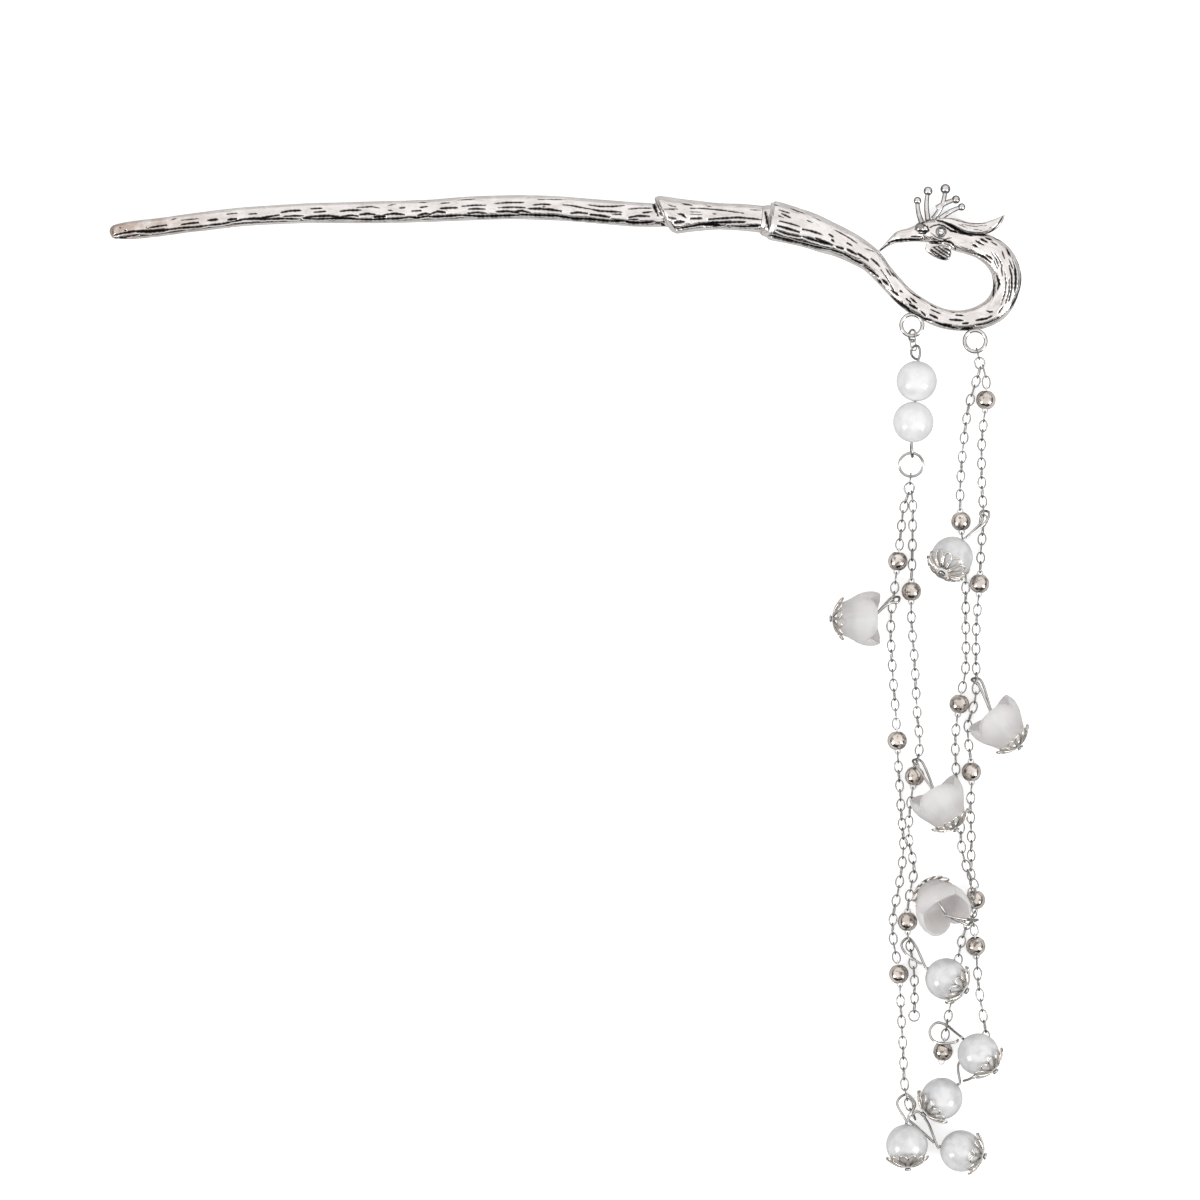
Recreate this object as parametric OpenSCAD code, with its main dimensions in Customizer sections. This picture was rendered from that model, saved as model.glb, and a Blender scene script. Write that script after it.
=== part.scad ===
/* [Stick] */
// Length of the stick from its tip to the collar
stick_len = 120.5; // [90:0.5:160]
// Width of the stick where it is widest
stick_w = 4.5; // [3.5:0.1:6]
// How far the stick bends out of its straight line
stick_bow = 2.4; // [0:0.1:5]
// Width of the flared cuff on the stick
cuff_w = 7.6; // [6:0.1:10]
// Depth of the bark ridges on the casting
ridge_h = 0.12; // [0:0.01:0.2]

/* [Neck and head] */
// Reach of the neck loop beyond the collar
neck_reach = 46.4; // [42:0.2:56]
// How far the loop hangs below the collar's axis
neck_drop = 20.2; // [18:0.2:26]
// Width of the neck behind the collar
neck_w = 7.2; // [6:0.1:8]
// Length of the head from its back to the beak's tip
head_len = 17.8; // [16:0.1:19]
// Height of the head across the eye
head_w = 4.6; // [4:0.1:5.2]
// Height of the casting's sections above the table as a share of their width
flatness = 0.8; // [0.7:0.01:1]

/* [Crest, plume and wattle] */
// Height of the crest's longest wire
crest_h = 5.5; // [4:0.1:8]
// Thickness of the crest's wires
crest_wire = 0.85; // [0.6:0.05:1]
// Length of the plume over the brow
plume_len = 12.4; // [9:0.1:14]
// Width of the plume
plume_w = 2.2; // [1.6:0.1:2.6]
// Length of the wattle under the cheek
wattle_len = 4.6; // [3.6:0.1:5.6]
// Width of the wattle
wattle_w = 3.3; // [2.4:0.1:3.8]

/* [Eye] */
// Diameter of the eye's stone
stone_d = 1.4; // [1.2:0.05:1.9]
// Height of the stone
stone_h = 0.9; // [0.6:0.05:1.1]
// Wall of the bezel round the stone
bezel_wall = 0.2; // [0.16:0.02:0.4]

/* [Knob] */
// Diameter of the knob at the root of the beak
knob_d = 2; // [1.6:0.1:2.4]

/* [Rings] */
// Outer diameter of the rings soldered to the neck
solder_d = 4.6; // [4.2:0.1:5.4]
// Wire of the soldered rings
solder_wire = 0.7; // [0.5:0.05:0.8]
// Outer diameter of the loose ring in the left soldered ring
loose_d = 2.6; // [2.5:0.05:3]
// Wire of the loose ring
loose_wire = 0.4; // [0.3:0.05:0.45]
// Outer diameter of the jump ring under the upper pearls
split_d = 4.9; // [4.2:0.1:5.6]
// Wire of that jump ring
split_wire = 0.5; // [0.4:0.05:0.6]
// Outer diameter of the open ring at the free chain end
end_ring_d = 2.2; // [1.9:0.1:2.8]

/* [Chain] */
// Distance from one link to the next
link_pitch = 1.78; // [1.6:0.02:2]
// Outer width of a link
link_w = 1.68; // [1.6:0.02:1.9]
// Wire of a link
link_wire = 0.26; // [0.2:0.01:0.28]
// Free play between linked wires
link_play = 0.15; // [0.13:0.01:0.16]
// How far the links roll out of square along a chain, in degrees
link_sway = 12; // [0:1:16]

/* [Beads] */
// Diameter of the metal beads
bead_d = 3.6; // [3:0.1:3.8]
// Bore of the metal beads
bead_bore = 1.5; // [1.45:0.05:1.7]
// Outer diameter of the eyes at the ends of a bead's wire
eye_d = 1.25; // [1.2:0.05:1.35]
// Wire of those eyes
eye_wire = 0.26; // [0.24:0.01:0.28]

/* [Pearls] */
// Diameter of the upper pearls
pearl_upper_d = 7.4; // [6.6:0.1:7.8]
// Diameter of the pearls in the drops
pearl_d = 7.6; // [6.8:0.1:8]
// Bore of the pearls and bells
pearl_bore = 0.9; // [0.8:0.05:1.2]

/* [Bell flowers] */
// Length of a bell without its petal tips
bell_len = 6.8; // [6:0.1:7.6]
// Width of a bell across its mouth
bell_w = 9.6; // [8.6:0.1:10]
// Wall of a bell
bell_wall = 0.9; // [0.7:0.05:1.2]
// How far the petal tips stand out
petal_tip = 0.9; // [0.4:0.05:1.2]

/* [Filigree caps] */
// Diameter of a cap
cap_d = 8.2; // [7.6:0.1:8.6]
// Depth of a cap
cap_depth = 2; // [1.6:0.1:2.4]
// Thickness of a cap
cap_wall = 0.35; // [0.3:0.01:0.45]
// Petals of a cap
cap_petals = 12; // [9:1:12]
// Strip left round each gap of a cap
cap_strip = 0.32; // [0.28:0.01:0.36]

/* [Head pins] */
// Wire of the head pins and of the upper pearls
pin_wire = 0.45; // [0.35:0.01:0.5]
// Diameter of a pin's head
pin_head = 1.3; // [1.1:0.05:1.8]

/* [Hidden] */

CHAINS = ["left_a", "left_b", "right_a", "right_b"];
silver = [0.78, 0.76, 0.74];
dark_silver = [0.66, 0.62, 0.58];
pearl_white = [0.93, 0.92, 0.92];
bell_white = [0.85, 0.83, 0.83];
rest_gap = 0.05;                        // lowest parts of loose pieces above the table
seat_gap = 0.12;                        // between a bead, its cap and its neighbours
stone_gap = 0.1;                        // round the eye's stone in its bezel
casting_sides = 18;
ridge_count = 5;
ridge_twist = 9;                        // degrees from one ring of the casting to the next
ring_steps = 2;                         // rings between two rows of the casting's tables
wire_sides = 6;
leaf_sides = 12;                        // plume and wattle
round_fn = 32;
wire_fn = 16;
over = 1;                               // how far a cutting shape runs past what it cuts

function last(v) = v[len(v) - 1];
function unit(v) = v / norm(v);
function mix(a, b, t) = a + (b - a) * t;
function turn(a) = [cos(a), sin(a)];
function flat3(p, z) = [p[0], p[1], z];
function tidy(x) = round(x * 1000) / 1000;
function catmull(a, b, c, d, t) =
    ((2 * b) + (c - a) * t + (2 * a - 5 * b + 4 * c - d) * t * t
     + (3 * b - a - 3 * c + d) * t * t * t) / 2;
function smooth(p, n) = concat(
    [for (i = [0 : len(p) - 2]) for (k = [0 : n - 1])
        catmull(p[max(i - 1, 0)], p[i], p[i + 1], p[min(i + 2, len(p) - 1)], k / n)],
    [last(p)]);
function tangent(p, i) = unit(p[min(i + 1, len(p) - 1)] - p[max(i - 1, 0)]);
function running(p, i = 0, sum = 0, out = []) =
    i >= len(p) ? out
    : let (s = i == 0 ? 0 : sum + norm(p[i] - p[i - 1])) running(p, i + 1, s, concat(out, [s]));
function along(p, run, s) =
    let (i = max([for (k = [0 : len(p) - 2]) if (k == 0 || run[k] <= s) k]))
    mix(p[i], p[i + 1], (s - run[i]) / (run[i + 1] - run[i]));

// A closed skin over rings of points, all rings with the same count
module skin(rings) {
    n = len(rings[0]);
    m = len(rings);
    polyhedron(
        points = [for (r = rings) each r],
        faces = concat(
            [[for (k = [0 : n - 1]) k]],
            [for (i = [0 : m - 2]) for (k = [0 : n - 1])
                let (a = i * n + k, b = i * n + (k + 1) % n)
                each [[a, b + n, b], [a, a + n, b + n]]],
            [[for (k = [0 : n - 1]) m * n - 1 - k]]));
}

// A wire or a rod that follows points, with a radius at each of them
module swept(p, r, sides) {
    skin([for (i = [0 : len(p) - 1])
        let (t = tangent(p, i), u = unit(cross([0, 0, 1], t)), v = cross(t, u))
        [for (k = [0 : sides - 1])
            p[i] + r[i] * (cos(360 * k / sides) * u + sin(360 * k / sides) * v)]]);
}

// A ring of round wire in the plan's plane
module wire_ring(d, wire) {
    rotate_extrude($fn = round_fn)
        translate([(d - wire) / 2, 0])
            circle(d = wire, $fn = wire_fn);
}

// A ball drilled along X
module drilled_ball(d, bore, n) {
    rotate([0, 90, 0])
        rotate_extrude($fn = n)
            difference() {
                circle(d = d, $fn = n);
                translate([bore / 2 - d, -d])
                    square([d, 2 * d]);
            }
}

// An oval link along X, from one end's wire to the other
module oval_link(length, width, wire) {
    r = tidy((width - wire) / 2);
    run = tidy((length - wire) / 2 - r);
    for (s = [-1, 1]) {
        translate([s * run, 0, 0])
            rotate([0, 0, s * 90 - 180])
                rotate_extrude(angle = 180, $fn = round_fn)
                    translate([r, 0])
                        circle(d = wire, $fn = wire_fn);
        translate([-run, s * r, 0])
            rotate([0, 90, 0])
                cylinder(d = wire, h = 2 * run, $fn = wire_fn);
    }
}

// Turns X along a direction and rolls round it
module aim(p, dir, roll) {
    translate(p)
        rotate([0, -asin(dir[2]), atan2(dir[1], dir[0])])
            rotate([roll, 0, 0])
                children();
}

// Casting: the rows run from the tip of the stick round the loop to the back of the head.
// Stick rows: along the stick, bow to the side, width, slant of the section in degrees
STICK = [
    [0.000, -0.92, 0.12, 0], [0.003, -0.90, 0.42, 0], [0.011, -0.87, 0.60, 0],
    [0.038, -0.75, 0.74, 0], [0.080, -0.52, 0.75, 0], [0.115, -0.27, 0.75, 0],
    [0.152, -0.04, 0.77, 0], [0.190, 0.19, 0.77, 0], [0.228, 0.34, 0.77, 0],
    [0.266, 0.44, 0.79, 0], [0.304, 0.53, 0.81, 0], [0.342, 0.55, 0.84, 0],
    [0.380, 0.57, 0.88, 0], [0.418, 0.60, 0.90, 0], [0.456, 0.65, 0.90, 0],
    [0.494, 0.72, 0.91, 0], [0.532, 0.84, 0.96, 0], [0.570, 0.92, 0.98, 0],
    [0.608, 0.97, 0.98, 0], [0.646, 0.95, 0.99, 0], [0.684, 0.87, 0.99, 0],
    [0.722, 0.73, 0.98, 0], [0.760, 0.57, 0.99, 0], [0.798, 0.42, 1.00, 8],
    [0.826, 0.38, 1.03, 20], [0.838, 0.38, 1.10, 27]];
CUFF = [
    [0.8395, 0.38, 0.80, 27], [0.8405, 0.38, 0.89, 27], [0.8430, 0.38, 0.96, 27],
    [0.8475, 0.38, 1.00, 26], [0.8550, 0.37, 0.96, 24], [0.8700, 0.34, 0.85, 18],
    [0.8950, 0.31, 0.73, 8], [0.9250, 0.27, 0.64, 0]];
THROAT = [[0.960, 0.20, 1.09, 0], [0.990, 0.05, 1.10, 0]];
function row_at(r, w) = [r[0] * stick_len - stick_len, r[1] * stick_bow, w, r[3]];
stick_rows = concat(
    [for (r = STICK) row_at(r, r[2] * stick_w)],
    [for (r = CUFF) row_at(r, r[2] * cuff_w)],
    [for (r = THROAT) row_at(r, r[2] * stick_w)]);

// Neck rows: along the reach, down the drop, width
NECK = [
    [-0.004, 0.000, 0.76], [0.000, -0.004, 0.85], [0.007, -0.006, 0.92],
    [0.017, -0.010, 0.98], [0.032, -0.015, 1.00], [0.095, -0.052, 0.95], [0.158, -0.093, 0.91],
    [0.220, -0.148, 0.85], [0.284, -0.204, 0.77], [0.347, -0.276, 0.71],
    [0.406, -0.367, 0.62], [0.452, -0.484, 0.53], [0.493, -0.588, 0.51],
    [0.534, -0.688, 0.51], [0.578, -0.765, 0.51], [0.626, -0.828, 0.49],
    [0.684, -0.887, 0.50], [0.745, -0.910, 0.51], [0.804, -0.900, 0.56],
    [0.858, -0.860, 0.625], [0.901, -0.792, 0.66], [0.931, -0.679, 0.68],
    [0.942, -0.543, 0.75], [0.929, -0.416, 0.75], [0.889, -0.299, 0.73],
    [0.824, -0.222, 0.63], [0.747, -0.200, 0.49]];
neck_rows = [for (r = NECK) [r[0] * neck_reach, r[1] * neck_drop, r[2] * neck_w, 0]];
head_back = [neck_rows[25][0], neck_rows[25][1]];

// Head rows: towards the beak, up, width
HEAD = [
    [-0.080, -0.20, 0.80], [0.093, 0.06, 0.90], [0.200, 0.16, 0.86], [0.278, 0.30, 0.95],
    [0.350, 0.48, 1.00], [0.485, 0.53, 0.93], [0.588, 0.47, 0.72], [0.690, 0.39, 0.55],
    [0.794, 0.32, 0.49], [0.845, 0.235, 0.36], [0.895, 0.10, 0.245], [0.945, -0.045, 0.14],
    [1.000, -0.24, 0.08]];
function on_head(s) = [head_back[0] - s[0] * head_len, head_back[1] + s[1] * head_w];
head_rows = [for (r = HEAD) [each on_head(r), r[2] * head_w, 0]];

// Places on the head: from its back towards the beak, up
eye_at = on_head([0.375, 0.49]);
crown = on_head([0.475, 1.05]);
plume_root = on_head([0.42, 0.93]);
wattle_root = on_head([0.53, -0.08]);
knob_at = on_head([0.585, 0.66]);

// Rings of a casting body: every section rests on the table
function cast_rings(rows, ridges) =
    let (s = smooth(rows, ring_steps))
    [for (i = [0 : len(s) - 1])
        let (a = s[max(i - 1, 0)], b = s[min(i + 1, len(s) - 1)],
             t = unit([b[0] - a[0], b[1] - a[1]]),
             q = atan2(t[1], t[0]) + 90 + s[i][3],
             w = s[i][2] / 2, h = w * flatness * cos(s[i][3]))
        [for (k = [0 : casting_sides - 1])
            let (f = 360 * k / casting_sides,
                 relief = ridges * ridge_h * min(1, w) * cos(ridge_count * f + ridge_twist * i),
                 c = (w + relief) * cos(f), z = (h + relief / 2) * sin(f))
            [s[i][0] + c * cos(q), s[i][1] + c * sin(q), max(0, h + z)]]];

// Rings soldered under the neck: row of the neck, direction from it
SOLDERED = [[14, -98], [18, -82]];
solder_sink = 0.35;
function solder_at(k) =
    let (r = neck_rows[SOLDERED[k][0]])
    [r[0], r[1]] + (r[2] / 2 + solder_d / 2 - solder_sink) * turn(SOLDERED[k][1]);
function solder_z(k) = max(neck_rows[SOLDERED[k][0]][2] / 2 * flatness, solder_wire / 2);
solder_low = (solder_d - solder_wire) / 2;

// Crest wires from the crown: foot across and up, tip across and up, bend, ball
CREST = [
    [-0.32, -0.12, -0.45, 0.58, 0.04, 1.50], [-0.10, -0.06, -0.10, 0.90, 0.05, 1.75],
    [0.07, -0.03, 0.48, 0.97, -0.10, 1.95], [0.19, 0.33, 0.83, 0.62, 0.03, 1.60],
    [0.30, -0.03, 1.02, 0.37, 0.05, 1.45]];
crest_z = head_w * flatness / 2;
crest_steps = 4;
function stem(foot, tip, side, t) = mix(foot, tip, t) + side * sin(180 * t);

module crest() {
    for (r = CREST) {
        foot = flat3(crown + crest_h * [r[0], r[1]], crest_z);
        tip = flat3(crown + crest_h * [r[2], r[3]], crest_z);
        side = crest_h * r[4] * unit(cross([0, 0, 1], tip - foot));
        for (k = [0 : crest_steps - 1])
            hull()
                for (t = [k, k + 1] / crest_steps)
                    translate(stem(foot, tip, side, t))
                        sphere(d = crest_wire, $fn = 8);
        translate(tip)
            sphere(d = r[5], $fn = 10);
    }
}

// Plume rows: along its length, up, width
PLUME = [
    [-0.02, -0.06, 0.30], [0.10, -0.03, 0.55], [0.27, -0.22, 0.85], [0.47, -0.60, 0.98],
    [0.66, -0.66, 1.00], [0.81, -0.40, 0.92], [0.91, -0.05, 0.66], [0.97, 0.28, 0.34],
    [1.00, 0.52, 0.08]];
plume_z = head_w * flatness * 0.72;     // middle of the plume above the table
plume_thick = 0.4;                      // of its width, from its middle up
module plume() {
    p = smooth([for (r = PLUME)
        [plume_root[0] + r[0] * plume_len, plume_root[1] + r[1] * plume_w, r[2] * plume_w / 2]],
        2);
    path = [for (q = p) [q[0], q[1], plume_z]];
    skin([for (i = [0 : len(p) - 1])
        let (t = tangent(path, i), u = unit(cross([0, 0, 1], t)))
        [for (k = [0 : leaf_sides - 1])
            let (f = 360 * k / leaf_sides)
            path[i] + p[i][2] * cos(f) * u + [0, 0, min(p[i][2], plume_w * plume_thick) * sin(f)]]]);
}

// Wattle rows: along its length, down, width
WATTLE = [
    [0.00, 0.00, 0.30], [0.12, 0.06, 0.55], [0.42, 0.20, 0.83], [0.75, 0.29, 1.00],
    [0.90, 0.27, 0.83], [1.00, 0.24, 0.35]];
wattle_rise = head_w * flatness * 0.62; // middle of the wattle above the table
wattle_thick = 0.55;                    // height of a section as a share of its width
module wattle() {
    p = smooth([for (r = WATTLE)
        [wattle_root[0] + r[0] * wattle_len, wattle_root[1] - r[1] * wattle_w, r[2] * wattle_w / 2]],
        2);
    skin([for (q = p)
        [for (k = [0 : leaf_sides - 1])
            let (f = 360 * k / leaf_sides)
            [q[0], q[1] + q[2] * cos(f), wattle_rise + q[2] * wattle_thick * sin(f)]]]);
}

// Bezel: its foot in the head, its rim above the head, the depth of the stone's seat
head_top = head_w * flatness;
bezel_foot = 0.6;
bezel_rim = 0.25;
seat_depth = 0.35;
knob_z = head_top * 0.58;               // middle of the knob
module casting() {
    color(dark_silver)
        difference() {
            union() {
                skin(cast_rings(concat(stick_rows, neck_rows), 1));
                skin(cast_rings(head_rows, 0.5));
                crest();
                plume();
                wattle();
                translate(flat3(knob_at, knob_z))
                    sphere(d = knob_d, $fn = 10);
                for (k = [0, 1])
                    translate(flat3(solder_at(k), solder_z(k)))
                        rotate_extrude($fn = 24)
                            translate([(solder_d - solder_wire) / 2, 0])
                                circle(d = solder_wire, $fn = 8);
                translate(flat3(eye_at, head_top - bezel_foot))
                    cylinder(d = stone_d + 2 * (bezel_wall + stone_gap), h = bezel_foot + bezel_rim,
                             $fn = 20);
            }
            translate(flat3(eye_at, head_top - seat_depth))
                cylinder(d = stone_d + 2 * stone_gap, h = seat_depth + bezel_rim + over, $fn = 20);
        }
}

// Faceted stone from its foot to its table: share of its radius, share of its height
STONE = [[0.15, 0.00], [0.94, 0.42], [1.00, 0.52], [1.00, 0.60], [0.58, 1.00]];
stone_facets = 10;
module eye_stone() {
    seat = head_top - seat_depth + stone_gap;
    color([0.8, 0.8, 0.82])
        skin([for (r = STONE)
            [for (k = [0 : stone_facets - 1])
                flat3(eye_at + r[0] * stone_d / 2 * turn(360 * k / stone_facets), seat + r[1] * stone_h)]]);
}

// Chains: each row of a route is right of the soldered ring, down from it, height, bead or not.
// The first strand of a pair begins at its first row, the second one at a link of the first.
hook_down = solder_low - (solder_wire + link_wire) / 2 - link_play + (link_wire + link_play) / 2;
hook_z = solder_z(1) + rest_gap;
ROUTES = [
    [[-0.2, 27.3, 1.5, 0], [-0.5, 30.5, 1.0, 0], [-1.5, 33.3, 0.95, 0], [-1.9, 36.9, 0.95, 0],
     [-2.6, 43.2, 1.85, 1], [-3.4, 50.4, 0.95, 0], [-3.8, 53.5, 0.95, 0], [-3.8, 57.7, 0.95, 0],
     [-3.5, 63.5, 0.95, 0], [-3.0, 70.0, 0.95, 0], [-2.7, 76.0, 1.85, 1], [-2.4, 82.0, 0.95, 0],
     [-2.1, 86.0, 0.95, 0], [-1.9, 90.0, 0.95, 0], [-1.5, 94.5, 0.95, 0], [-1.8, 99.0, 0.95, 0],
     [-2.6, 104.0, 0.95, 0], [-3.4, 108.0, 0.95, 0], [-3.4, 112.5, 0.95, 0],
     [-2.4, 118.7, 1.85, 1], [-2.0, 125.0, 0.95, 0], [-1.6, 132.2, 0.95, 0],
     [-1.4, 138.2, 0.95, 0], [-1.0, 141.0, 0.95, 0], [-0.3, 143.4, 0.95, 0],
     [0.6, 145.2, 0.95, 0]],
    [[0.2, 32.8, 1.75, 0], [0.15, 36.8, 1.0, 0], [0.1, 42.0, 0.95, 0],
     [-0.1, 48.7, 1.85, 1], [0.0, 55.0, 0.95, 0], [0.5, 61.3, 0.95, 0], [1.0, 71.3, 0.95, 0],
     [1.5, 76.6, 1.1, 0], [0.5, 82.5, 1.85, 1], [-0.4, 88.5, 2.3, 0], [-0.6, 91.0, 2.8, 0],
     [-0.6, 94.0, 2.6, 0], [0.0, 97.0, 1.4, 0], [0.5, 99.6, 0.95, 0], [-0.2, 103.0, 0.95, 0],
     [-0.8, 109.1, 1.85, 1], [-0.1, 115.0, 0.95, 0], [0.4, 118.1, 0.95, 0], [0.5, 121.0, 0.95, 0],
     [0.5, 125.6, 0.95, 0]],
    [[0.3, hook_down, hook_z, 0], [0.8, 3.4, 1.25, 0], [0.95, 5.2, 1.0, 0], [0.0, 7.9, 0.95, 0],
     [-1.1, 11.7, 0.95, 0], [-1.7, 15.4, 0.95, 0],
     [-2.3, 20.7, 0.95, 0], [-2.7, 27.0, 0.95, 0], [-2.6, 33.0, 1.85, 1],
     [-1.8, 40.3, 0.95, 0], [-1.7, 46.2, 0.95, 0], [-1.7, 51.6, 0.95, 0], [-1.7, 60.0, 0.95, 0],
     [-2.9, 66.4, 1.85, 1], [-3.6, 72.5, 0.95, 0], [-3.5, 77.9, 0.95, 0], [-3.1, 83.3, 0.95, 0],
     [-2.6, 89.0, 0.95, 0], [-2.5, 92.5, 0.95, 0], [-1.3, 97.0, 0.95, 0], [0.05, 102.2, 1.85, 1],
     [-2.0, 108.2, 0.95, 0], [-3.0, 112.6, 0.95, 0], [-3.3, 116.3, 0.95, 0],
     [-4.3, 120.8, 0.95, 0], [-5.0, 124.1, 0.95, 0], [-5.9, 129.9, 1.85, 1]],
    [[2.05, 7.0, 1.5, 0], [1.95, 10.8, 1.85, 1], [1.3, 17.5, 0.95, 0], [1.2, 22.0, 0.95, 0],
     [1.3, 27.5, 0.95, 0], [1.6, 31.5, 0.95, 0], [1.5, 34.1, 0.95, 0], [1.1, 38.5, 0.95, 0],
     [0.8, 44.4, 1.85, 1], [0.3, 51.0, 0.95, 0], [0.2, 54.9, 0.95, 0], [0.2, 59.5, 0.95, 0],
     [0.3, 62.3, 0.95, 0], [-0.1, 66.4, 0.95, 0], [-1.2, 69.5, 0.95, 0], [-1.3, 72.5, 0.95, 0],
     [-0.7, 78.8, 1.85, 1], [-0.8, 85.0, 0.95, 0], [-0.7, 89.0, 0.95, 0], [-0.7, 92.5, 2.0, 0],
     [-0.8, 96.0, 2.9, 0], [-0.8, 99.0, 3.7, 0], [-0.7, 102.4, 4.6, 0], [-0.4, 105.8, 3.4, 0],
     [0.1, 110.7, 1.85, 1], [0.6, 117.0, 0.95, 0], [0.9, 119.7, 0.95, 0], [1.8, 125.3, 0.95, 0],
     [2.1, 127.4, 0.95, 0], [1.6, 130.2, 0.95, 0]]];

function chain_point(k, r) = flat3(solder_at(k < 2 ? 0 : 1) + [r[0], -r[1]], r[2]);
function marks(k) = [for (i = [0 : len(ROUTES[k]) - 1]) if (ROUTES[k][i][3] == 1) i];
function bead_count(k) = len(marks(k));
function bead_at(k, i) = chain_point(k, ROUTES[k][marks(k)[i]]);
function bead_dir(k, i) =
    let (m = marks(k)[i], n = len(ROUTES[k]) - 1)
    unit(chain_point(k, ROUTES[k][min(m + 1, n)]) - chain_point(k, ROUTES[k][m - 1]));
wire_shift = (link_wire + link_play) / 2;      // from a joint to the wire's middle
eye_stand = 0.42;                              // from a bead's surface to its joint
eye_reach = bead_d / 2 + eye_stand;
rod_share = 0.8;                               // of the eyes' wire that runs through a bead

// Where the second strand of a pair hangs beside the first, in a wider link of the first
branch_wide = 0.45;                            // more width for that link
branch_side = 0.5;
branch_back = 0.29;
function branch_at(k) =
    let (q = run_joints(k, 0), d = unit(q[2] - q[1]))
    q[2] + branch_side * unit(cross([0, 0, 1], d)) - branch_back * d;

// Joints between links along one run of chain, from the bead before it to the bead after it
function run_joints(k, i) =
    let (m = marks(k), second = k % 2 == 1 && i == 0, first = k % 2 == 0 && i == 0,
         a = second ? -1 : first ? 0 : m[i - 1],
         b = i == len(m) ? len(ROUTES[k]) - 1 : m[i],
         head = second ? branch_at(k - 1)
             : first ? chain_point(k, ROUTES[k][0])
             : bead_at(k, i - 1) + eye_reach * bead_dir(k, i - 1),
         tail = i == len(m) ? chain_point(k, last(ROUTES[k]))
             : bead_at(k, i) - eye_reach * bead_dir(k, i),
         mid = [for (j = [a + 1 : 1 : b - 1]) chain_point(k, ROUTES[k][j])],
         p = smooth(concat([head], mid, [tail]), 4), run = running(p),
         n = i == len(m) ? 2 * round((last(run) / link_pitch - 1) / 2) + 1
             : max(1, round(last(run) / link_pitch)))
    [for (j = [0 : n]) j == n ? last(p) : along(p, run, last(run) * j / n)];
function run_count(k) =
    let (m = marks(k)) last(m) == len(ROUTES[k]) - 1 ? len(m) : len(m) + 1;
chains = [for (k = [0 : 3]) [for (i = [0 : run_count(k) - 1]) run_joints(k, i)]];
function link_roll(j) = 90 * ((j + 1) % 2) + link_sway * sin(37 * j);
function link_mid(q, j) = (q[j] + q[j + 1]) / 2;

module links(k) {
    for (i = [0 : len(chains[k]) - 1]) {
        q = chains[k][i];
        for (j = [0 : len(q) - 2]) {
            wide = k % 2 == 0 && i == 0 && j == 1 ? link_w + branch_wide : link_w;
            aim(link_mid(q, j), unit(q[j + 1] - q[j]), link_roll(j))
                oval_link(norm(q[j + 1] - q[j]) + 2 * link_wire + link_play, wide, link_wire);
        }
    }
}

// Wire through a bead, with an eye at each end
module bead_wires(k) {
    c = eye_reach + wire_shift - (eye_d - eye_wire) / 2;
    for (i = [0 : bead_count(k) - 1]) {
        even = (len(chains[k][i]) - 1) % 2 == 0 ? 90 : 0;
        aim(bead_at(k, i), bead_dir(k, i), 0) {
            translate([-c + eye_d / 2 - eye_wire / 2, 0, 0])
                rotate([0, 90, 0])
                    cylinder(d = eye_wire * rod_share, h = 2 * c - eye_d + eye_wire, $fn = wire_fn);
            translate([c, 0, 0])
                wire_ring(eye_d, eye_wire);
            translate([-c, 0, 0])
                rotate([even, 0, 0])
                    wire_ring(eye_d, eye_wire);
        }
    }
}

module chain(k) {
    color(silver) {
        links(k);
        bead_wires(k);
    }
}

module metal_bead(k, i) {
    color([0.75, 0.68, 0.62])
        aim(bead_at(k, i), bead_dir(k, i), 0)
            drilled_ball(bead_d, bead_bore, round_fn);
}

// Upper end of the left strand, down from the soldered ring
top_z = solder_z(0);
function wire_gap(a, b) = (a + b) / 2 + link_play;
slack = 0.3;                           // more room between the loosely hanging pieces
loose_low = solder_low + (loose_d - loose_wire) / 2;
link_high = loose_low - wire_gap(loose_wire, link_wire);
link_low = link_high + link_pitch + link_wire + link_play;
eye_high = link_low - wire_gap(link_wire, pin_wire) - slack;
pearl_top = [[0.8, -10.3], [0.18, -17.8]];
function left_point(x, down, z) = flat3(solder_at(0) + [x, -down], z);
upper_dir = unit(flat3(pearl_top[1] - pearl_top[0], 0));
upper_z = pearl_upper_d / 2 + rest_gap;
function upper_at(i) =
    let (m = flat3(solder_at(0) + (pearl_top[0] + pearl_top[1]) / 2, upper_z))
    m + (i - 0.5) * (pearl_upper_d + seat_gap) * upper_dir;
split_high = 23.35;
split_low = split_high + split_d - split_wire;
split_z = 2.4;

// How a piece hangs here: right of the soldered ring, above a height, its direction and roll
RING_TOP = [0.1, 0, [0, -1, 0], 58];
LINK_TOP = [0.25, 0.25, [0.14, -1, 0.25], -46];
RING_SPLIT = [-0.15, -0.4, [0, -1, -0.25], 0];
module hung(row, down, z) {
    color(silver)
        aim(left_point(row[0], down, z + row[1]), unit(row[2]), row[3])
            children();
}

module ring_top() {
    hung(RING_TOP, solder_low, top_z)
        wire_ring(loose_d, loose_wire);
}

module link_top() {
    hung(LINK_TOP, (link_high + link_low) / 2, top_z)
        oval_link(link_low - link_high + link_wire, link_w, link_wire);
}

module ring_split() {
    hung(RING_SPLIT, (split_high + split_low) / 2, split_z)
        wire_ring(split_d, split_wire);
}

// An eye of wire, nearly closed: from its foot out to the far end and back
eye_steps = 10;
eye_gap = 0.06;
eye_taper = 0.6;                        // how soon an eye narrows towards its foot
function eye_points(foot, far, wide, roll) =
    let (d = far - foot, u = unit(d), v = unit(cross([0, 0, 1], u)),
         side = cos(roll) * v + sin(roll) * cross(u, v))
    [for (t = [0 : eye_steps])
        let (a = 360 * t / eye_steps * (1 - eye_gap) + 180 * eye_gap)
        foot + d * (1 - cos(a)) / 2 + side * wide / 2 * sin(a) * pow(sin(a / 2), eye_taper)];

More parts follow.
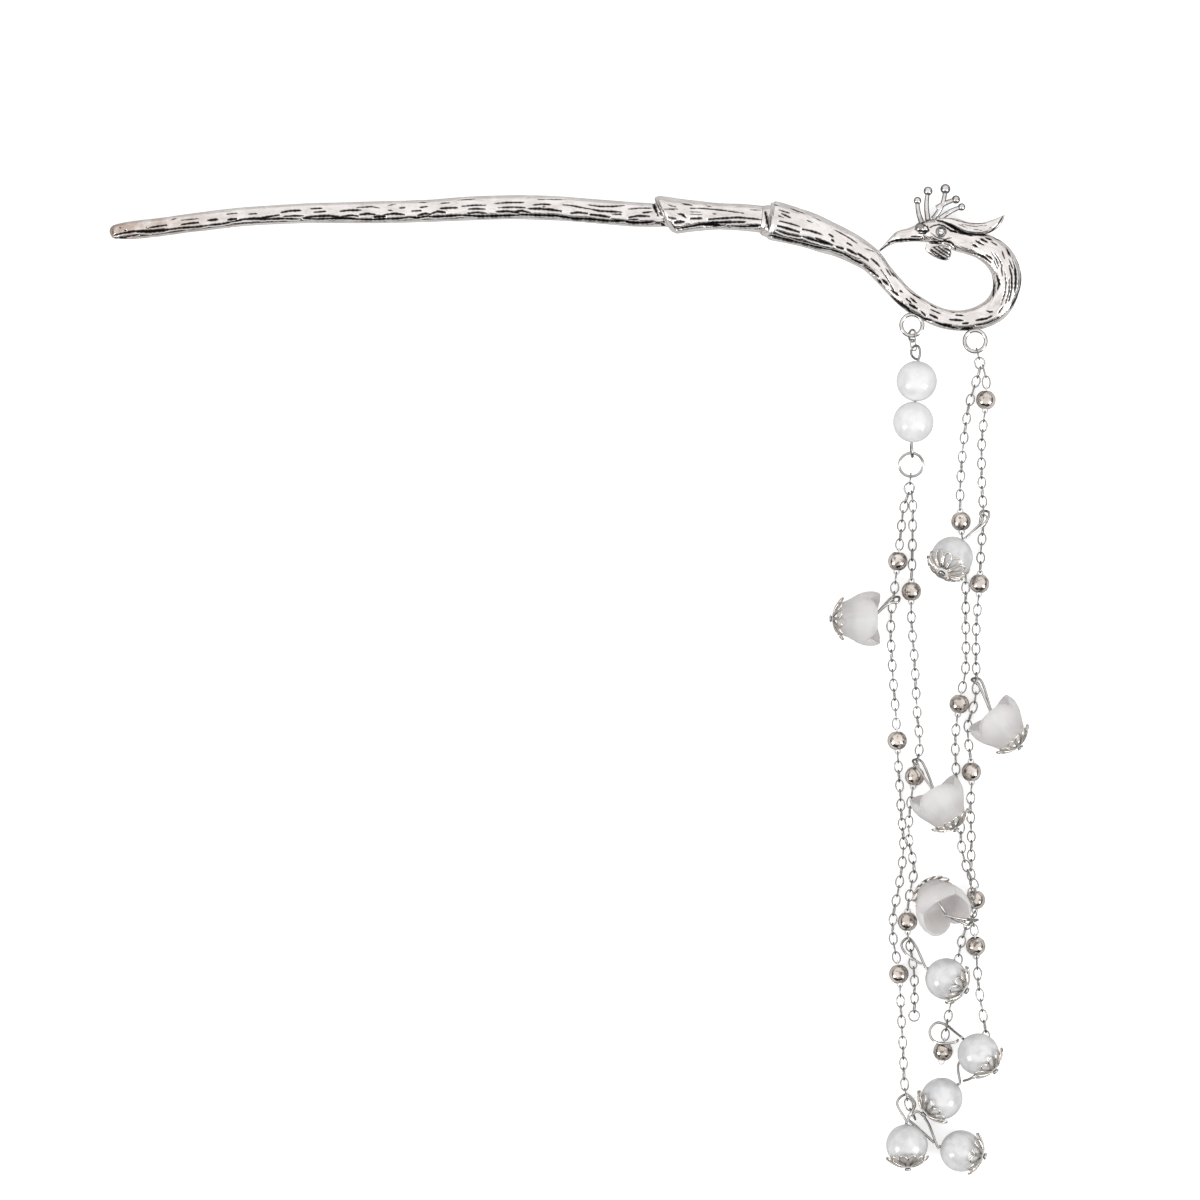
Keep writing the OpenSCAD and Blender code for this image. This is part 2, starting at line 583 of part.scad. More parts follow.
// Eyes of the upper pearls' wire: right of the soldered ring, above a height, width, roll
EYE_ABOVE = [0.3, 0.36, 2.4, -32];
EYE_BELOW = [0, -0.2, 2.1, 85];
eye_foot = 0.3;                         // from a pearl to the foot of an eye
eye_bend = 0.2;                         // from that foot to the straight wire
module pearl_wire() {
    far_a = left_point(EYE_ABOVE[0], eye_high, top_z + EYE_ABOVE[1]);
    far_b = left_point(EYE_BELOW[0], split_high + wire_gap(split_wire, pin_wire), split_z + EYE_BELOW[1]);
    a = upper_at(0) - (pearl_upper_d / 2 + eye_foot) * upper_dir;
    b = upper_at(1) + (pearl_upper_d / 2 + eye_foot) * upper_dir;
    loop_a = eye_points(a, far_a, EYE_ABOVE[2], EYE_ABOVE[3]);
    loop_b = eye_points(b, far_b, EYE_BELOW[2], EYE_BELOW[3]);
    p = concat([for (i = [len(loop_a) - 1 : -1 : 0]) loop_a[i]], [a + eye_bend * upper_dir],
               [b - eye_bend * upper_dir], loop_b);
    color(silver)
        swept(p, [for (q = p) pin_wire / 2], wire_sides);
}

module pearl_upper(i) {
    color(pearl_white)
        aim(upper_at(i), upper_dir, 0)
            drilled_ball(pearl_upper_d, pearl_bore, 48);
}

module ring_end() {
    tail = last(last(chains[1]));
    color(silver)
        translate(tail + [-rest_gap, wire_shift - (end_ring_d - link_wire) / 2, -rest_gap])
            wire_ring(end_ring_d, link_wire);
}

// Drops. Kind is 0 for a pearl and 1 for a bell. The middle is right of and down from the soldered
// ring. Heading and rise turn the axis from the cap towards the chain. The loop is held by the
// square link of a run that lies nearest to a given depth; its points are right, up and above.
NAME = 0;
KIND = 1;
CHAIN = 2;
DEPTH = 3;
MIDDLE = 4;
HEADING = 5;
RISE = 6;
SPIN = 7;
LOOP = 8;
drops = [
    ["bell_one", 1, 0, 50.3, [-10.3, 53.7, 4.6], 0, 5, 90,
        [[-1.0, -0.6, 0.4], [0, 0, 0], [1.0, 0, 0.6], [0.7, -0.9, 1.8], [-1.0, -1.2, 2.0]]],
    ["bell_two", 1, 3, 61.7, [5.0, 70.9, 5.0], 132, 0, 90,
        [[0.5, -1.6, 2.4], [-0.9, -0.3, 0.7], [0, 0, 0], [1.1, -0.9, 0.7]]],
    ["bell_three", 1, 1, 79.0, [5.6, 88.2, 6.0], 120, 0, 90,
        [[0.3, -2.0, 2.9], [-0.9, -0.3, 1.2], [0, 0, 0], [1.1, -0.9, 0.8]]],
    ["bell_four", 1, 3, 105.3, [-7.0, 102.3, 5.4], -59, 45, 90,
        [[-1.3, 0.4, 3.7], [0.7, 0.3, 0.9], [0, 0, 0], [-0.7, -0.3, 1.0], [-1.3, -0.5, 3.5]]],
    ["pearl_one", 0, 3, 31.5, [-4.4, 39.6, 5.7], 56, -35, 0,
        [[-0.4, -2.0, 1.3], [-0.6, -0.5, 0.35], [0, 0, 0], [1.0, -0.4, 0.9], [0.2, -2.2, 1.8]]],
    ["pearl_two", 0, 1, 112.6, [6.1, 119.4, 5.5], 150, -14, 0,
        [[1.3, -1.5, 1.4], [0, 0, 0], [-1.3, -1.2, 0.9], [-0.3, -3.0, 1.9]]],
    ["pearl_three", 0, 2, 124.6, [0.4, 130.2, 5.8], 135, -8, 0,
        [[1.4, -1.1, 1.7], [0, 0, 0], [-1.8, 0.5, 0.3], [-3.1, -0.8, 0.7], [-2.7, -2.5, 1.4],
         [-1.0, -3.2, 2.3], [1.4, -2.9, 3.1]]],
    ["pearl_four", 0, 3, 130.0, [-6.2, 138.4, 3.9], 41, -8, 0,
        [[-4.8, -2.9, 0.7], [-2.0, -0.5, 0.1], [0, 0, 0], [1.1, -0.7, 0.1], [0.8, -2.3, 0.1],
         [-2.1, -5.3, 0.7]]],
    ["pearl_five", 0, 0, 139.0, [-1.0, 149.8, 3.9], 92, -8, 0,
        [[-1.7, -1.5, 1.2], [0, 0, 0], [1.6, -1.7, 1.3]]],
    ["pearl_six", 0, 0, 145.0, [8.9, 150.9, 3.9], 168, -8, 0,
        [[2.8, -1.6, 0.7], [1.1, 0.4, 0.1], [0, 0, 0], [-0.8, -0.9, 0.1], [0.5, -2.1, 0.3]]]];

function drop_ring(d) = d[CHAIN] < 2 ? 0 : 1;
function drop_mid(d) = flat3(solder_at(drop_ring(d)) + [d[MIDDLE][0], -d[MIDDLE][1]], d[MIDDLE][2]);
function drop_dir(d) = flat3(cos(d[RISE]) * turn(d[HEADING]), sin(d[RISE]));
bell_hub = 1.6;                         // solid back of a bell that the pin runs through
function square_links(k) =
    [for (q = chains[k]) for (j = [0 : 2 : len(q) - 2]) link_mid(q, j)];
function nearest(p, y) =
    let (gap = [for (q = p) abs(q[1] - y)]) p[search(min(gap), gap)[0]];
function held_at(d) =
    nearest(square_links(d[CHAIN]), solder_at(drop_ring(d))[1] - d[DEPTH]);

module placed(d) {
    aim(drop_mid(d), drop_dir(d), 0)
        rotate([d[SPIN], 0, 0])
            children();
}

module drop_pearl(d) {
    color(pearl_white)
        placed(d)
            drilled_ball(pearl_d, pearl_bore, 48);
}

// Bell profile: along the bell, share of its half width; the rest of the profile is its inside
BELL = [
    [0.00, 0.40], [0.04, 0.56], [0.16, 0.64], [0.34, 0.76], [0.54, 0.92], [0.72, 1.00],
    [0.88, 1.00], [1.00, 0.93]];
bell_round = 21;
hub_lip = 0.4;                          // inside of a bell, from its hub
rim_round = [0.05, 0.45];               // inner edge of the mouth: in along the bell, share of the wall
hub_share = 0.55;                       // radius at the hub as a share of the profile there
petal_flare = 0.09;                     // petals widen the mouth by this share
function bell_loop() =
    let (r = bell_w / 2, n = len(BELL) - 1)
    concat([[0, pearl_bore / 2, 0]],
           [for (b = BELL) [b[0] * bell_len, b[1] * r, b[0]]],
           [for (i = [n : -1 : 3])
               let (t = (i - 3) / (n - 3))
               [mix(bell_hub + hub_lip, BELL[i][0] * bell_len, t) - (i == n ? rim_round[0] : 0),
                BELL[i][1] * r - bell_wall * (i == n ? rim_round[1] : 1), BELL[i][0]]],
           [[bell_hub, BELL[2][1] * r * hub_share, 0], [bell_hub, pearl_bore / 2, 0]]);
function petal(f) = pow(abs(cos(1.5 * f)), 0.7) * 2 - 1;

module drop_bell(d) {
    p = bell_loop();
    m = len(p);
    points = [for (q = p) for (k = [0 : bell_round - 1])
        let (f = 360 * k / bell_round, w = pow(q[2], 3), s = petal(f),
             r = q[1] * (1 + petal_flare * w * s))
        [q[0] + petal_tip * w * s - bell_len / 2, r * cos(f), r * sin(f)]];
    color(bell_white)
        placed(d)
            polyhedron(points = points, faces = [
                for (i = [0 : m - 1]) for (k = [0 : bell_round - 1])
                    let (a = i * bell_round + k, b = i * bell_round + (k + 1) % bell_round,
                         c = ((i + 1) % m) * bell_round + (k + 1) % bell_round,
                         e = ((i + 1) % m) * bell_round + k)
                    each [[a, c, b], [a, e, c]]]);
}

// Filigree cap: a shallow dish with a scalloped rim and a gap in each petal
petal_fill = 0.86;                      // of the rim's share that a petal's circle takes
hub_r_share = 0.14;
dish_r = (cap_d * cap_d / 4 + cap_depth * cap_depth) / (2 * cap_depth);
petal_r = PI * cap_d / 2 / cap_petals * petal_fill;
petal_at = cap_d / 2 - petal_r;
cap_hub = cap_d * hub_r_share;
function dish_rise(r) = let (q = dish_r - cap_wall) q - sqrt(q * q - r * r);
bell_lift = max([for (b = BELL) dish_rise(b[1] * bell_w / 2) - b[0] * bell_len]);
function back_reach(d) = d[KIND] == 0 ? pearl_d / 2 : bell_len / 2 + bell_lift;

// Outline points round the rim: each petal is a part of a circle, with few points
rim_points = 6;
rim_share = 0.93;                       // of the angle between two petals that a petal's part takes
function rim_at(k, i) =
    let (a = 180 / cap_petals * rim_share * (2 * i / (rim_points - 1) - 1), s = petal_at * sin(a))
    (petal_at * cos(a) + sqrt(petal_r * petal_r - s * s)) * turn(360 * (k + 0.5) / cap_petals + a);
gap_foot = 0.45;                        // from the hub to a gap
gap_sweep = 95;                         // a gap's round end, to each side of its middle
gap_points = 6;
function gap_at(k) =
    let (f = 360 * (k + 0.5) / cap_petals, r = petal_r - cap_strip, near = cap_hub + gap_foot,
         w = max(cap_wall / 4, (PI * near / cap_petals - cap_strip / 2) * 0.6))
    [for (q = concat([[near, w], [near, -w]],
                     [for (i = [0 : gap_points - 1])
                         [petal_at, 0] + r * turn(mix(-gap_sweep, gap_sweep, i / (gap_points - 1)))]))
        [q[0] * cos(f) - q[1] * sin(f), q[0] * sin(f) + q[1] * cos(f)]];

module dish() {
    rotate_extrude($fn = 96)
        intersection() {
            translate([0, dish_r])
                difference() {
                    circle(r = dish_r, $fn = 96);
                    circle(r = dish_r - cap_wall, $fn = 96);
                }
            translate([pearl_bore / 2, -over])
                square([cap_d, cap_depth + cap_wall + over]);
        }
}

module drop_cap(d) {
    reach = back_reach(d) + seat_gap + cap_wall;
    color(dark_silver)
        placed(d)
            translate([-reach, 0, 0])
                rotate([0, 90, 0])
                    difference() {
                        intersection() {
                            dish();
                            translate([0, 0, -over])
                                linear_extrude(cap_depth + cap_wall + 2 * over)
                                    polygon([for (k = [0 : cap_petals - 1])
                                        for (i = [0 : rim_points - 1]) rim_at(k, i)]);
                        }
                        translate([0, 0, -2 * over])
                            linear_extrude(cap_depth + cap_wall + 4 * over)
                                for (k = [0 : cap_petals - 1])
                                    polygon(gap_at(k));
                    }
}

// Head of a pin: back from the cap, radius as a share of the head's diameter
PIN_HEAD = [[0.45, 0.3], [0.4, 0.5], [0.15, 0.5]];
// Where a pin's loop begins: past a pearl, past a steep bell's length, inside a flat bell's mouth
pearl_neck = 0.6;
steep_neck = 0.8;
flat_neck = -0.6;
steep = 30;
loop_lead = [0.4, 0.1];                 // wire before and after that place, in line with the pin
function front_reach(d) =
    d[KIND] == 0 ? pearl_d / 2 + pearl_neck
    : bell_len / 2 + (d[RISE] > steep ? steep_neck : flat_neck);

// From the head through the cap and the bead, round the link and back
module drop_pin(d) {
    dir = drop_dir(d);
    q = drop_mid(d) + front_reach(d) * dir;
    start = drop_mid(d) - (back_reach(d) + seat_gap + cap_wall) * dir;
    way = [for (r = d[LOOP]) held_at(d) + r];
    near = q + unit(last(way) - q) * (pin_wire * 2);
    loop = smooth(concat([q - loop_lead[0] * dir, q + loop_lead[1] * dir], way, [near]), 4);
    p = concat([for (h = PIN_HEAD) start - h[0] * dir], [start - rest_gap * dir, start + dir], loop);
    r = [for (i = [0 : len(p) - 1]) i < len(PIN_HEAD) ? PIN_HEAD[i][1] * pin_head : pin_wire / 2];
    color(silver)
        swept(p, r, wire_sides);
}

// The plan's middle: half way between the outermost points
far_left = -stick_len;
far_right = solder_at(1)[0] + drops[1][MIDDLE][0] + 0.48 * bell_w;
far_up = crown[1] + CREST[2][3] * crest_h + CREST[2][5] / 2;
far_down = solder_at(0)[1] - drops[9][MIDDLE][1] - cap_d / 2 - cap_wall;
module laid() {
    translate([-(far_left + far_right) / 2, -(far_up + far_down) / 2, 0])
        children();
}

laid() casting();
laid() eye_stone();
laid() ring_top();
laid() link_top();
laid() pearl_wire();
laid() pearl_upper(0);  // pearl_upper_1
laid() pearl_upper(1);  // pearl_upper_2
laid() ring_split();
laid() ring_end();
for (k = [0 : 3]) {
    laid() chain(k);
    for (i = [1 : bead_count(k)])
        laid() metal_bead(k, i - 1);
}
for (d = drops) {
    laid() {
            if (d[KIND] == 0) drop_pearl(d);
            if (d[KIND] == 1) drop_bell(d);
        }
    laid() drop_cap(d);
    laid() drop_pin(d);
}
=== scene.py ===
# A buyao hairpin lying flat: cast silver stick with a bird's head, four hung chains, pearls,
# frosted bell flowers and filigree caps. Tables are in millimetres, Blender is in metres.
import math

import bmesh
import bpy
import numpy as np
from mathutils import Matrix, Vector, noise


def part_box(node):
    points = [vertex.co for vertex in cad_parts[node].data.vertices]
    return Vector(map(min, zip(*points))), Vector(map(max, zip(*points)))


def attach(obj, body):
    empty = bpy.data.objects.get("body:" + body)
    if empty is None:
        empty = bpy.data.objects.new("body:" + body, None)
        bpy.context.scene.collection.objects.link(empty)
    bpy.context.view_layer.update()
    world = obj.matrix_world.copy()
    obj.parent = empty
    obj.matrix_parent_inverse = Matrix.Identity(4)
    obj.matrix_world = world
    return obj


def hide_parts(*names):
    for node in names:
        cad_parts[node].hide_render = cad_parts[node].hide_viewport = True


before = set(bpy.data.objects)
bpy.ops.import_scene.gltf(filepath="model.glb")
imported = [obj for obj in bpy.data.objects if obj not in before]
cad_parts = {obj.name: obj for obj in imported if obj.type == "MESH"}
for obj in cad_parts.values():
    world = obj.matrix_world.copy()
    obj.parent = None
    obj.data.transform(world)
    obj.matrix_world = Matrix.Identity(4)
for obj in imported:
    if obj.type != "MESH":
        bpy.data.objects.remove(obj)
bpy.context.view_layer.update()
mm = 0.001
print("frame loaded:", len(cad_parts), "nodes")


def vec(*v):
    return np.array(v, float)


def unit(v):
    return v / np.linalg.norm(v)


def turn(degrees):
    a = math.radians(degrees)
    return vec(math.cos(a), math.sin(a))


def high(p, z):
    return vec(p[0], p[1], z)


def smooth(rows, steps):                  # a curve through every row
    p = np.asarray(rows, float)
    out = []
    for i in range(len(p) - 1):
        a, b, c, d = p[max(i - 1, 0)], p[i], p[i + 1], p[min(i + 2, len(p) - 1)]
        for t in np.arange(steps) / steps:
            out.append((2 * b + (c - a) * t + (2 * a - 5 * b + 4 * c - d) * t ** 2
                        + (3 * b - a - 3 * c + d) * t ** 3) / 2)
    return np.array(out + [p[-1]])


def lengthAt(points):                     # how far along the path each point is
    return np.concatenate([[0], np.cumsum(np.linalg.norm(np.diff(points, axis=0), axis=1))])


def takenAt(points, run, at):             # the path's points at given lengths
    return np.column_stack([np.interp(at, run, column) for column in points.T])


def evenly(points, spacing, weights):     # the same curve with rows at an even spacing
    run = lengthAt(points * weights)
    return takenAt(points, run, np.linspace(0, run[-1], max(8, int(run[-1] / spacing))))


def ease(low, high_, x):
    t = np.clip((x - low) / (high_ - low), 0, 1)
    return t * t * (3 - 2 * t)


class Wire:                               # a shader value that can stand in a sum
    def __init__(self, finish, socket):
        self.finish, self.socket = finish, socket

    def math(self, operation, *values):
        return self.finish.node("ShaderNodeMath", {"operation": operation}, dict(enumerate(values)))

    def __add__(self, other):
        return self.math("ADD", self, other)

    def __sub__(self, other):
        return self.math("SUBTRACT", self, other)

    def __rsub__(self, other):
        return self.math("SUBTRACT", other, self)

    def __mul__(self, other):
        return self.math("MULTIPLY", self, other)

    __radd__, __rmul__ = __add__, __mul__


class Shading:                            # the nodes of a material or of the sky
    def __init__(self, tree):
        self.tree = tree

    def node(self, kind, settings, sockets, output=0):
        made = self.tree.nodes.new(kind)
        for key, value in settings.items():
            if key == "stops":
                ramp = made.color_ramp
                for i, (at, shade) in enumerate(value):
                    stop = ramp.elements[i] if i < 2 else ramp.elements.new(at)
                    stop.position, stop.color = at, (*shade, 1)
            else:
                setattr(made, key, value)
        for key, value in sockets.items():
            self.put(made.inputs[key], value)
        return Wire(self, made.outputs[output])

    def put(self, socket, value):
        if isinstance(value, Wire):
            self.tree.links.new(value.socket, socket)
        else:
            socket.default_value = (*value, 1) if socket.type == "RGBA" and len(value) == 3 else value


class Finish(Shading):                    # one material
    def __init__(self, name, constants):
        self.material = bpy.data.materials.new(name)
        self.material.use_nodes = True
        super().__init__(self.material.node_tree)
        self.shader = self.tree.nodes["Principled BSDF"]
        for socket, value in constants.items():
            self.shader.inputs[socket].default_value = value
        self.place = self.node("ShaderNodeTexCoord", {}, {}, "Object")

    def feed(self, name, value):
        self.put(self.shader.inputs[name], value)

    def cloud(self, size, detail):        # noise with features of so many millimetres
        return self.node("ShaderNodeTexNoise", {}, {"Vector": self.place, "Scale": 1 / (size * mm),
                                                    "Detail": detail}, "Fac")

    def marked(self, name):               # a value that the mesh carries
        return self.node("ShaderNodeAttribute", {"attribute_name": name}, {}, "Fac")

    def between(self, value, low, top, a=0.0, b=1.0):
        return self.node("ShaderNodeMapRange", {"interpolation_type": "SMOOTHSTEP"},
                         {"Value": value, "From Min": low, "From Max": top, "To Min": a, "To Max": b})

    def patches(self, size, detail, a, b, low=0.3, top=0.7):      # from a to b in soft patches
        return self.between(self.cloud(size, detail), low, top, a, b)

    def blend(self, share, a, b):         # colour a, or b where share is 1
        return self.node("ShaderNodeMix", {"data_type": "RGBA"}, {0: share, 6: a, 7: b}, 2)

    def bumped(self, height, depth):
        self.feed("Normal", self.node("ShaderNodeBump", {}, {"Height": height, "Distance": depth * mm}))


# sootAndShade: one dark colour for painted shade, painted dark reflections and the patina of the casting
silverLook = {"sootAndShade": (0.012, 0.011, 0.012), "scratch": 0.012, "barkShare": 0.75, "tip": (0.50, 0.37, 0.28),
              "tipFrom": -56, "tipTo": -84, "tipShare": 0.75}


def plainSilver(name, light, dull, roughness, sideShade=0.0, darkSpotReflection=0.0):
    finish = Finish(name, {"Metallic": 1.0})
    # painted shade: the sides of a wire are darkened by the side mark, standing in for dark reflections at
    # its edges
    sootAndShade = finish.marked("side") * sideShade
    # painted dark reflections: dark patches at random, standing in for the dark surroundings mirrored by
    # polished beads and trim
    if darkSpotReflection:
        sootAndShade = sootAndShade + darkSpotReflection * finish.patches(0.9, 3, 0.0, 1.0, 0.52, 0.66)
    polish(finish, light, dull, sootAndShade, roughness)
    return finish.material


def polish(finish, light, dull, sootAndShade, roughness):
    clean = finish.blend(finish.patches(3.2, 3, 0.0, 1.0, 0.35, 0.65), light, dull)
    # sootAndShade lays on the dark colour: partly painted shade and painted reflections, partly patina
    tint = finish.blend(sootAndShade, clean, silverLook["sootAndShade"])
    finish.feed("Base Color", tint)
    finish.feed("Roughness", finish.patches(0.7, 4, roughness * 0.75, roughness * 1.4) + 0.2 * sootAndShade)
    finish.bumped(finish.cloud(0.16, 3), silverLook["scratch"])
    return tint


def castSilver(light, dull, roughness):   # black in its grooves: patina in the hollows, and along the lower edge also a painted dark reflection band; brown towards the tip
    finish = Finish("cast silver", {"Metallic": 1.0})
    sootAndShade = finish.node("ShaderNodeMath", {"operation": "MAXIMUM"},
                       {0: finish.marked("groove"), 1: finish.marked("bark") * silverLook["barkShare"]})
    tint = polish(finish, light, dull, sootAndShade, roughness)
    x = finish.node("ShaderNodeSeparateXYZ", {}, {"Vector": finish.place}, "X")
    clean = finish.between(x, silverLook["tipTo"] * mm, silverLook["tipFrom"] * mm)
    tarnish = silverLook["tipShare"] * (1 - clean) * finish.patches(2.4, 3, 0.0, 1.0, 0.3, 0.62)
    finish.feed("Base Color", finish.node("ShaderNodeMix", {"data_type": "RGBA", "blend_type": "MULTIPLY"},
                                          {0: tarnish, 6: tint, 7: silverLook["tip"]}, 2))
    return finish.material


def pearlNacre(name, light, dull):
    finish = Finish(name, {"Coat Roughness": 0.07, "Coat IOR": 1.6, "IOR": 1.55, "Subsurface Weight": 0.2,
                           "Subsurface Radius": (1.0, 0.85, 0.8), "Subsurface Scale": 1.0 * mm})
    rings = finish.cloud(2.4, 2)
    finish.feed("Base Color", finish.blend(finish.between(rings, 0.35, 0.68), light, dull))
    finish.feed("Coat Weight", finish.patches(2.0, 2, 0.7, 1.0))
    finish.feed("Roughness", finish.between(rings, 0.3, 0.7, 0.3, 0.42))
    finish.bumped(finish.cloud(0.5, 2), 0.01)
    return finish.material


bellLook = {"light": (0.985, 0.94, 0.925), "dull": (0.96, 0.91, 0.895), "vein": (1.0, 0.99, 0.985),
            "veinShare": 0.8}


def frostedBell():
    finish = Finish("frosted bell", {"Transmission Weight": 0.4, "IOR": 1.4, "Subsurface Weight": 0.6,
                                     "Subsurface Radius": (1.0, 0.85, 0.8), "Subsurface Scale": 3 * mm})
    tint = finish.blend(finish.patches(2.6, 3, 0.0, 1.0, 0.35), bellLook["light"], bellLook["dull"])
    vein = finish.marked("vein") * bellLook["veinShare"]
    finish.feed("Base Color", finish.blend(vein, tint, bellLook["vein"]))
    finish.feed("Roughness", finish.patches(0.8, 3, 0.32, 0.45))
    finish.bumped(finish.cloud(0.35, 3), 0.03)
    return finish.material


stoneLook = {"light": (0.96, 0.96, 0.97), "grey": (0.30, 0.29, 0.30), "edge": (0.06, 0.055, 0.06),
             "edgeFrom": 0.42, "edgeTo": 0.66}


def eyeCrystal():                         # clear stone over foil, its light painted in: bright and grey patches are painted reflections of the facets, painted shade darkens it towards its edge
    low, top = (np.array(corner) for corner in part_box("eye_stone"))
    middle = ((low[0] + top[0]) / 2, (low[1] + top[1]) / 2, top[2])
    finish = Finish("eye crystal", {"IOR": 1.7, "Coat Roughness": 0.03, "Metallic": 0.7})
    offset = finish.node("ShaderNodeVectorMath", {"operation": "SUBTRACT"}, {0: finish.place, 1: middle})
    out = finish.node("ShaderNodeVectorMath", {"operation": "LENGTH"}, {0: offset}, "Value")
    # painted reflections: bright and grey patches for the flashes of the facets
    tint = finish.blend(finish.patches(0.3, 2, 0.0, 1.0, 0.57, 0.64), stoneLook["light"], stoneLook["grey"])
    # painted shade: darker towards the stone's edge
    edge = finish.between(out, stoneLook["edgeFrom"] * mm, stoneLook["edgeTo"] * mm)
    finish.feed("Base Color", finish.blend(edge, tint, stoneLook["edge"]))
    finish.feed("Roughness", finish.patches(0.3, 2, 0.06, 0.14))
    finish.feed("Coat Weight", finish.patches(0.4, 2, 0.8, 1.0))
    return finish.material


looks = {"cast": castSilver((0.93, 0.895, 0.87), (0.80, 0.755, 0.73), 0.2),
         "trim": plainSilver("cast trim", (0.84, 0.81, 0.79), (0.66, 0.63, 0.61), 0.14, 0.85, 0.25),
         "antique": plainSilver("antique silver", (0.36, 0.34, 0.33), (0.22, 0.20, 0.19), 0.12),
         "chain": plainSilver("chain silver", (0.56, 0.55, 0.53), (0.40, 0.385, 0.365), 0.15, 0.6),
         "pin": plainSilver("pin silver", (0.72, 0.705, 0.68), (0.52, 0.50, 0.475), 0.14, 0.5),
         "filigree": plainSilver("filigree silver", (0.90, 0.85, 0.79), (0.74, 0.68, 0.62), 0.2, 0.45),
         "bead": plainSilver("bead silver", (0.84, 0.765, 0.71), (0.64, 0.575, 0.52), 0.1, 0.0, 0.7),
         # one nacre in two brightnesses: the darker copy for the hanging pearls, the lighter copy for the two
         # upper pearls
         "pearl": pearlNacre("pearl nacre", (0.75, 0.75, 0.75), (0.59, 0.59, 0.595)),
         "lighterPearl": pearlNacre("lighter nacre", (0.87, 0.87, 0.87), (0.77, 0.77, 0.775)),
         "bell": frostedBell(), "stone": eyeCrystal()}
print("materials made:", ", ".join(sorted(looks)))


def markSides(data):                      # how far a surface is turned to the side; this mark lays painted shade on the sides of wires, standing in for dark reflections at their edges
    facing = np.empty(len(data.vertices) * 3, dtype=np.float32)
    data.vertex_normals.foreach_get("vector", facing)
    side = 1 - ease(0.4, 0.95, np.abs(facing[2::3]))
    mark = data.attributes.get("side") or data.attributes.new("side", "FLOAT", "POINT")
    mark.data.foreach_set("value", side.astype(np.float32))


def keep(obj, look, *nodes):              # a finished piece: its finish, its body and what it stands for
    if not obj.data.materials:
        obj.data.materials.append(looks[look])
    # these wire looks get painted shade on their sides
    if look in ("chain", "pin", "trim", "filigree"):
        markSides(obj.data)
    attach(obj, "root")
    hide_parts(*nodes)
    return obj


def dress(node, look):                    # a finish on a solid that is shown as it is
    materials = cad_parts[node].data.materials
    materials.clear()
    materials.append(looks[look])


def placed(name, data):
    obj = bpy.data.objects.new(name, data)
    bpy.context.scene.collection.objects.link(obj)
    return obj


def smoothed(data):
    data.polygons.foreach_set("use_smooth", [True] * len(data.polygons))
    return data


def bare(name, points, edges, faces, **marks):       # a mesh in metres with a value at each point
    data = bpy.data.meshes.new(name)
    data.from_pydata((np.asarray(points) * mm).tolist(), edges, faces)
    for key, (kind, values) in marks.items():
        field = "vector" if kind == "FLOAT_VECTOR" else "value"
        data.attributes.new(key, kind, "POINT").data.foreach_set(field, np.ravel(values).astype(np.float32))
    return data


def meshPiece(name, points, faces, **marks):
    data = bare(name, points, [], faces, **{key: ("FLOAT", values) for key, values in marks.items()})
    work = bmesh.new()
    work.from_mesh(data)
    bmesh.ops.recalc_face_normals(work, faces=work.faces)
    work.to_mesh(data)
    work.free()
    return placed(name, smoothed(data))


def skinFaces(rings, around):             # quads between rings, a fan closes each end
    faces = []
    for i in range(rings - 1):
        for k in range(around):
            a, b = i * around + k, i * around + (k + 1) % around
            faces.append((a, b, b + around, a + around))
    last = (rings - 1) * around
    for k in range(around):
        faces.append((rings * around, (k + 1) % around, k))
        faces.append((rings * around + 1, last + k, last + (k + 1) % around))
    return faces


def skin(name, rings, **marks):           # rings: count, around, 3
    points = np.vstack([rings.reshape(-1, 3), rings[0].mean(0), rings[-1].mean(0)])
    marks = {key: np.append(values, [0, 0]) for key, values in marks.items()}
    return meshPiece(name, points, skinFaces(*rings.shape[:2]), **marks)


def groovesAt(x, y, table, ragged=0.28):  # how deep each point of the plan lies in a drawn groove, 0 to 1
    deep = np.zeros(x.shape)
    for number, row in enumerate(table):
        p = np.array(row[1:]).reshape(-1, 2)
        reach = row[0]
        (x0, y0), (x1, y1) = p.min(0) - reach, p.max(0) + reach
        near = np.nonzero((x > x0) & (x < x1) & (y > y0) & (y < y1))
        if not len(near[0]):
            continue
        px, py = x[near], y[near]
        lengths = np.linalg.norm(np.diff(p, axis=0), axis=1)
        total, gone = lengths.sum(), 0.0
        best = np.zeros(px.shape)
        for (ax, ay), (bx, by), length in zip(p[:-1], p[1:], lengths):
            t = np.clip(((px - ax) * (bx - ax) + (py - ay) * (by - ay)) / length ** 2, 0, 1)
            away = np.hypot(px - ax - t * (bx - ax), py - ay - t * (by - ay))
            along = gone + t * length
            half = row[0] / 2 * (0.45 + 0.55 * np.sqrt(np.clip(np.sin(np.pi * along / total), 0, 1)))
            half = half * (1 + ragged * np.sin(5.1 * along + 2.3 * number) * np.sin(2.7 * along + number))
            best = np.maximum(best, 1 - ease(0.55 * half, 1.25 * half, away))
            gone += length
        deep[near] = np.maximum(deep[near], best)
    return deep


def barkAt(run, angle, girth, seed):      # noise that is drawn out along the casting
    rows = zip(run.ravel() * casting["barkStretch"], (girth * np.cos(angle)).ravel() * casting["barkFine"],
               (girth * np.sin(angle)).ravel() * casting["barkFine"] + seed)
    return np.array([noise.noise(Vector(row)) for row in rows]).reshape(run.shape)
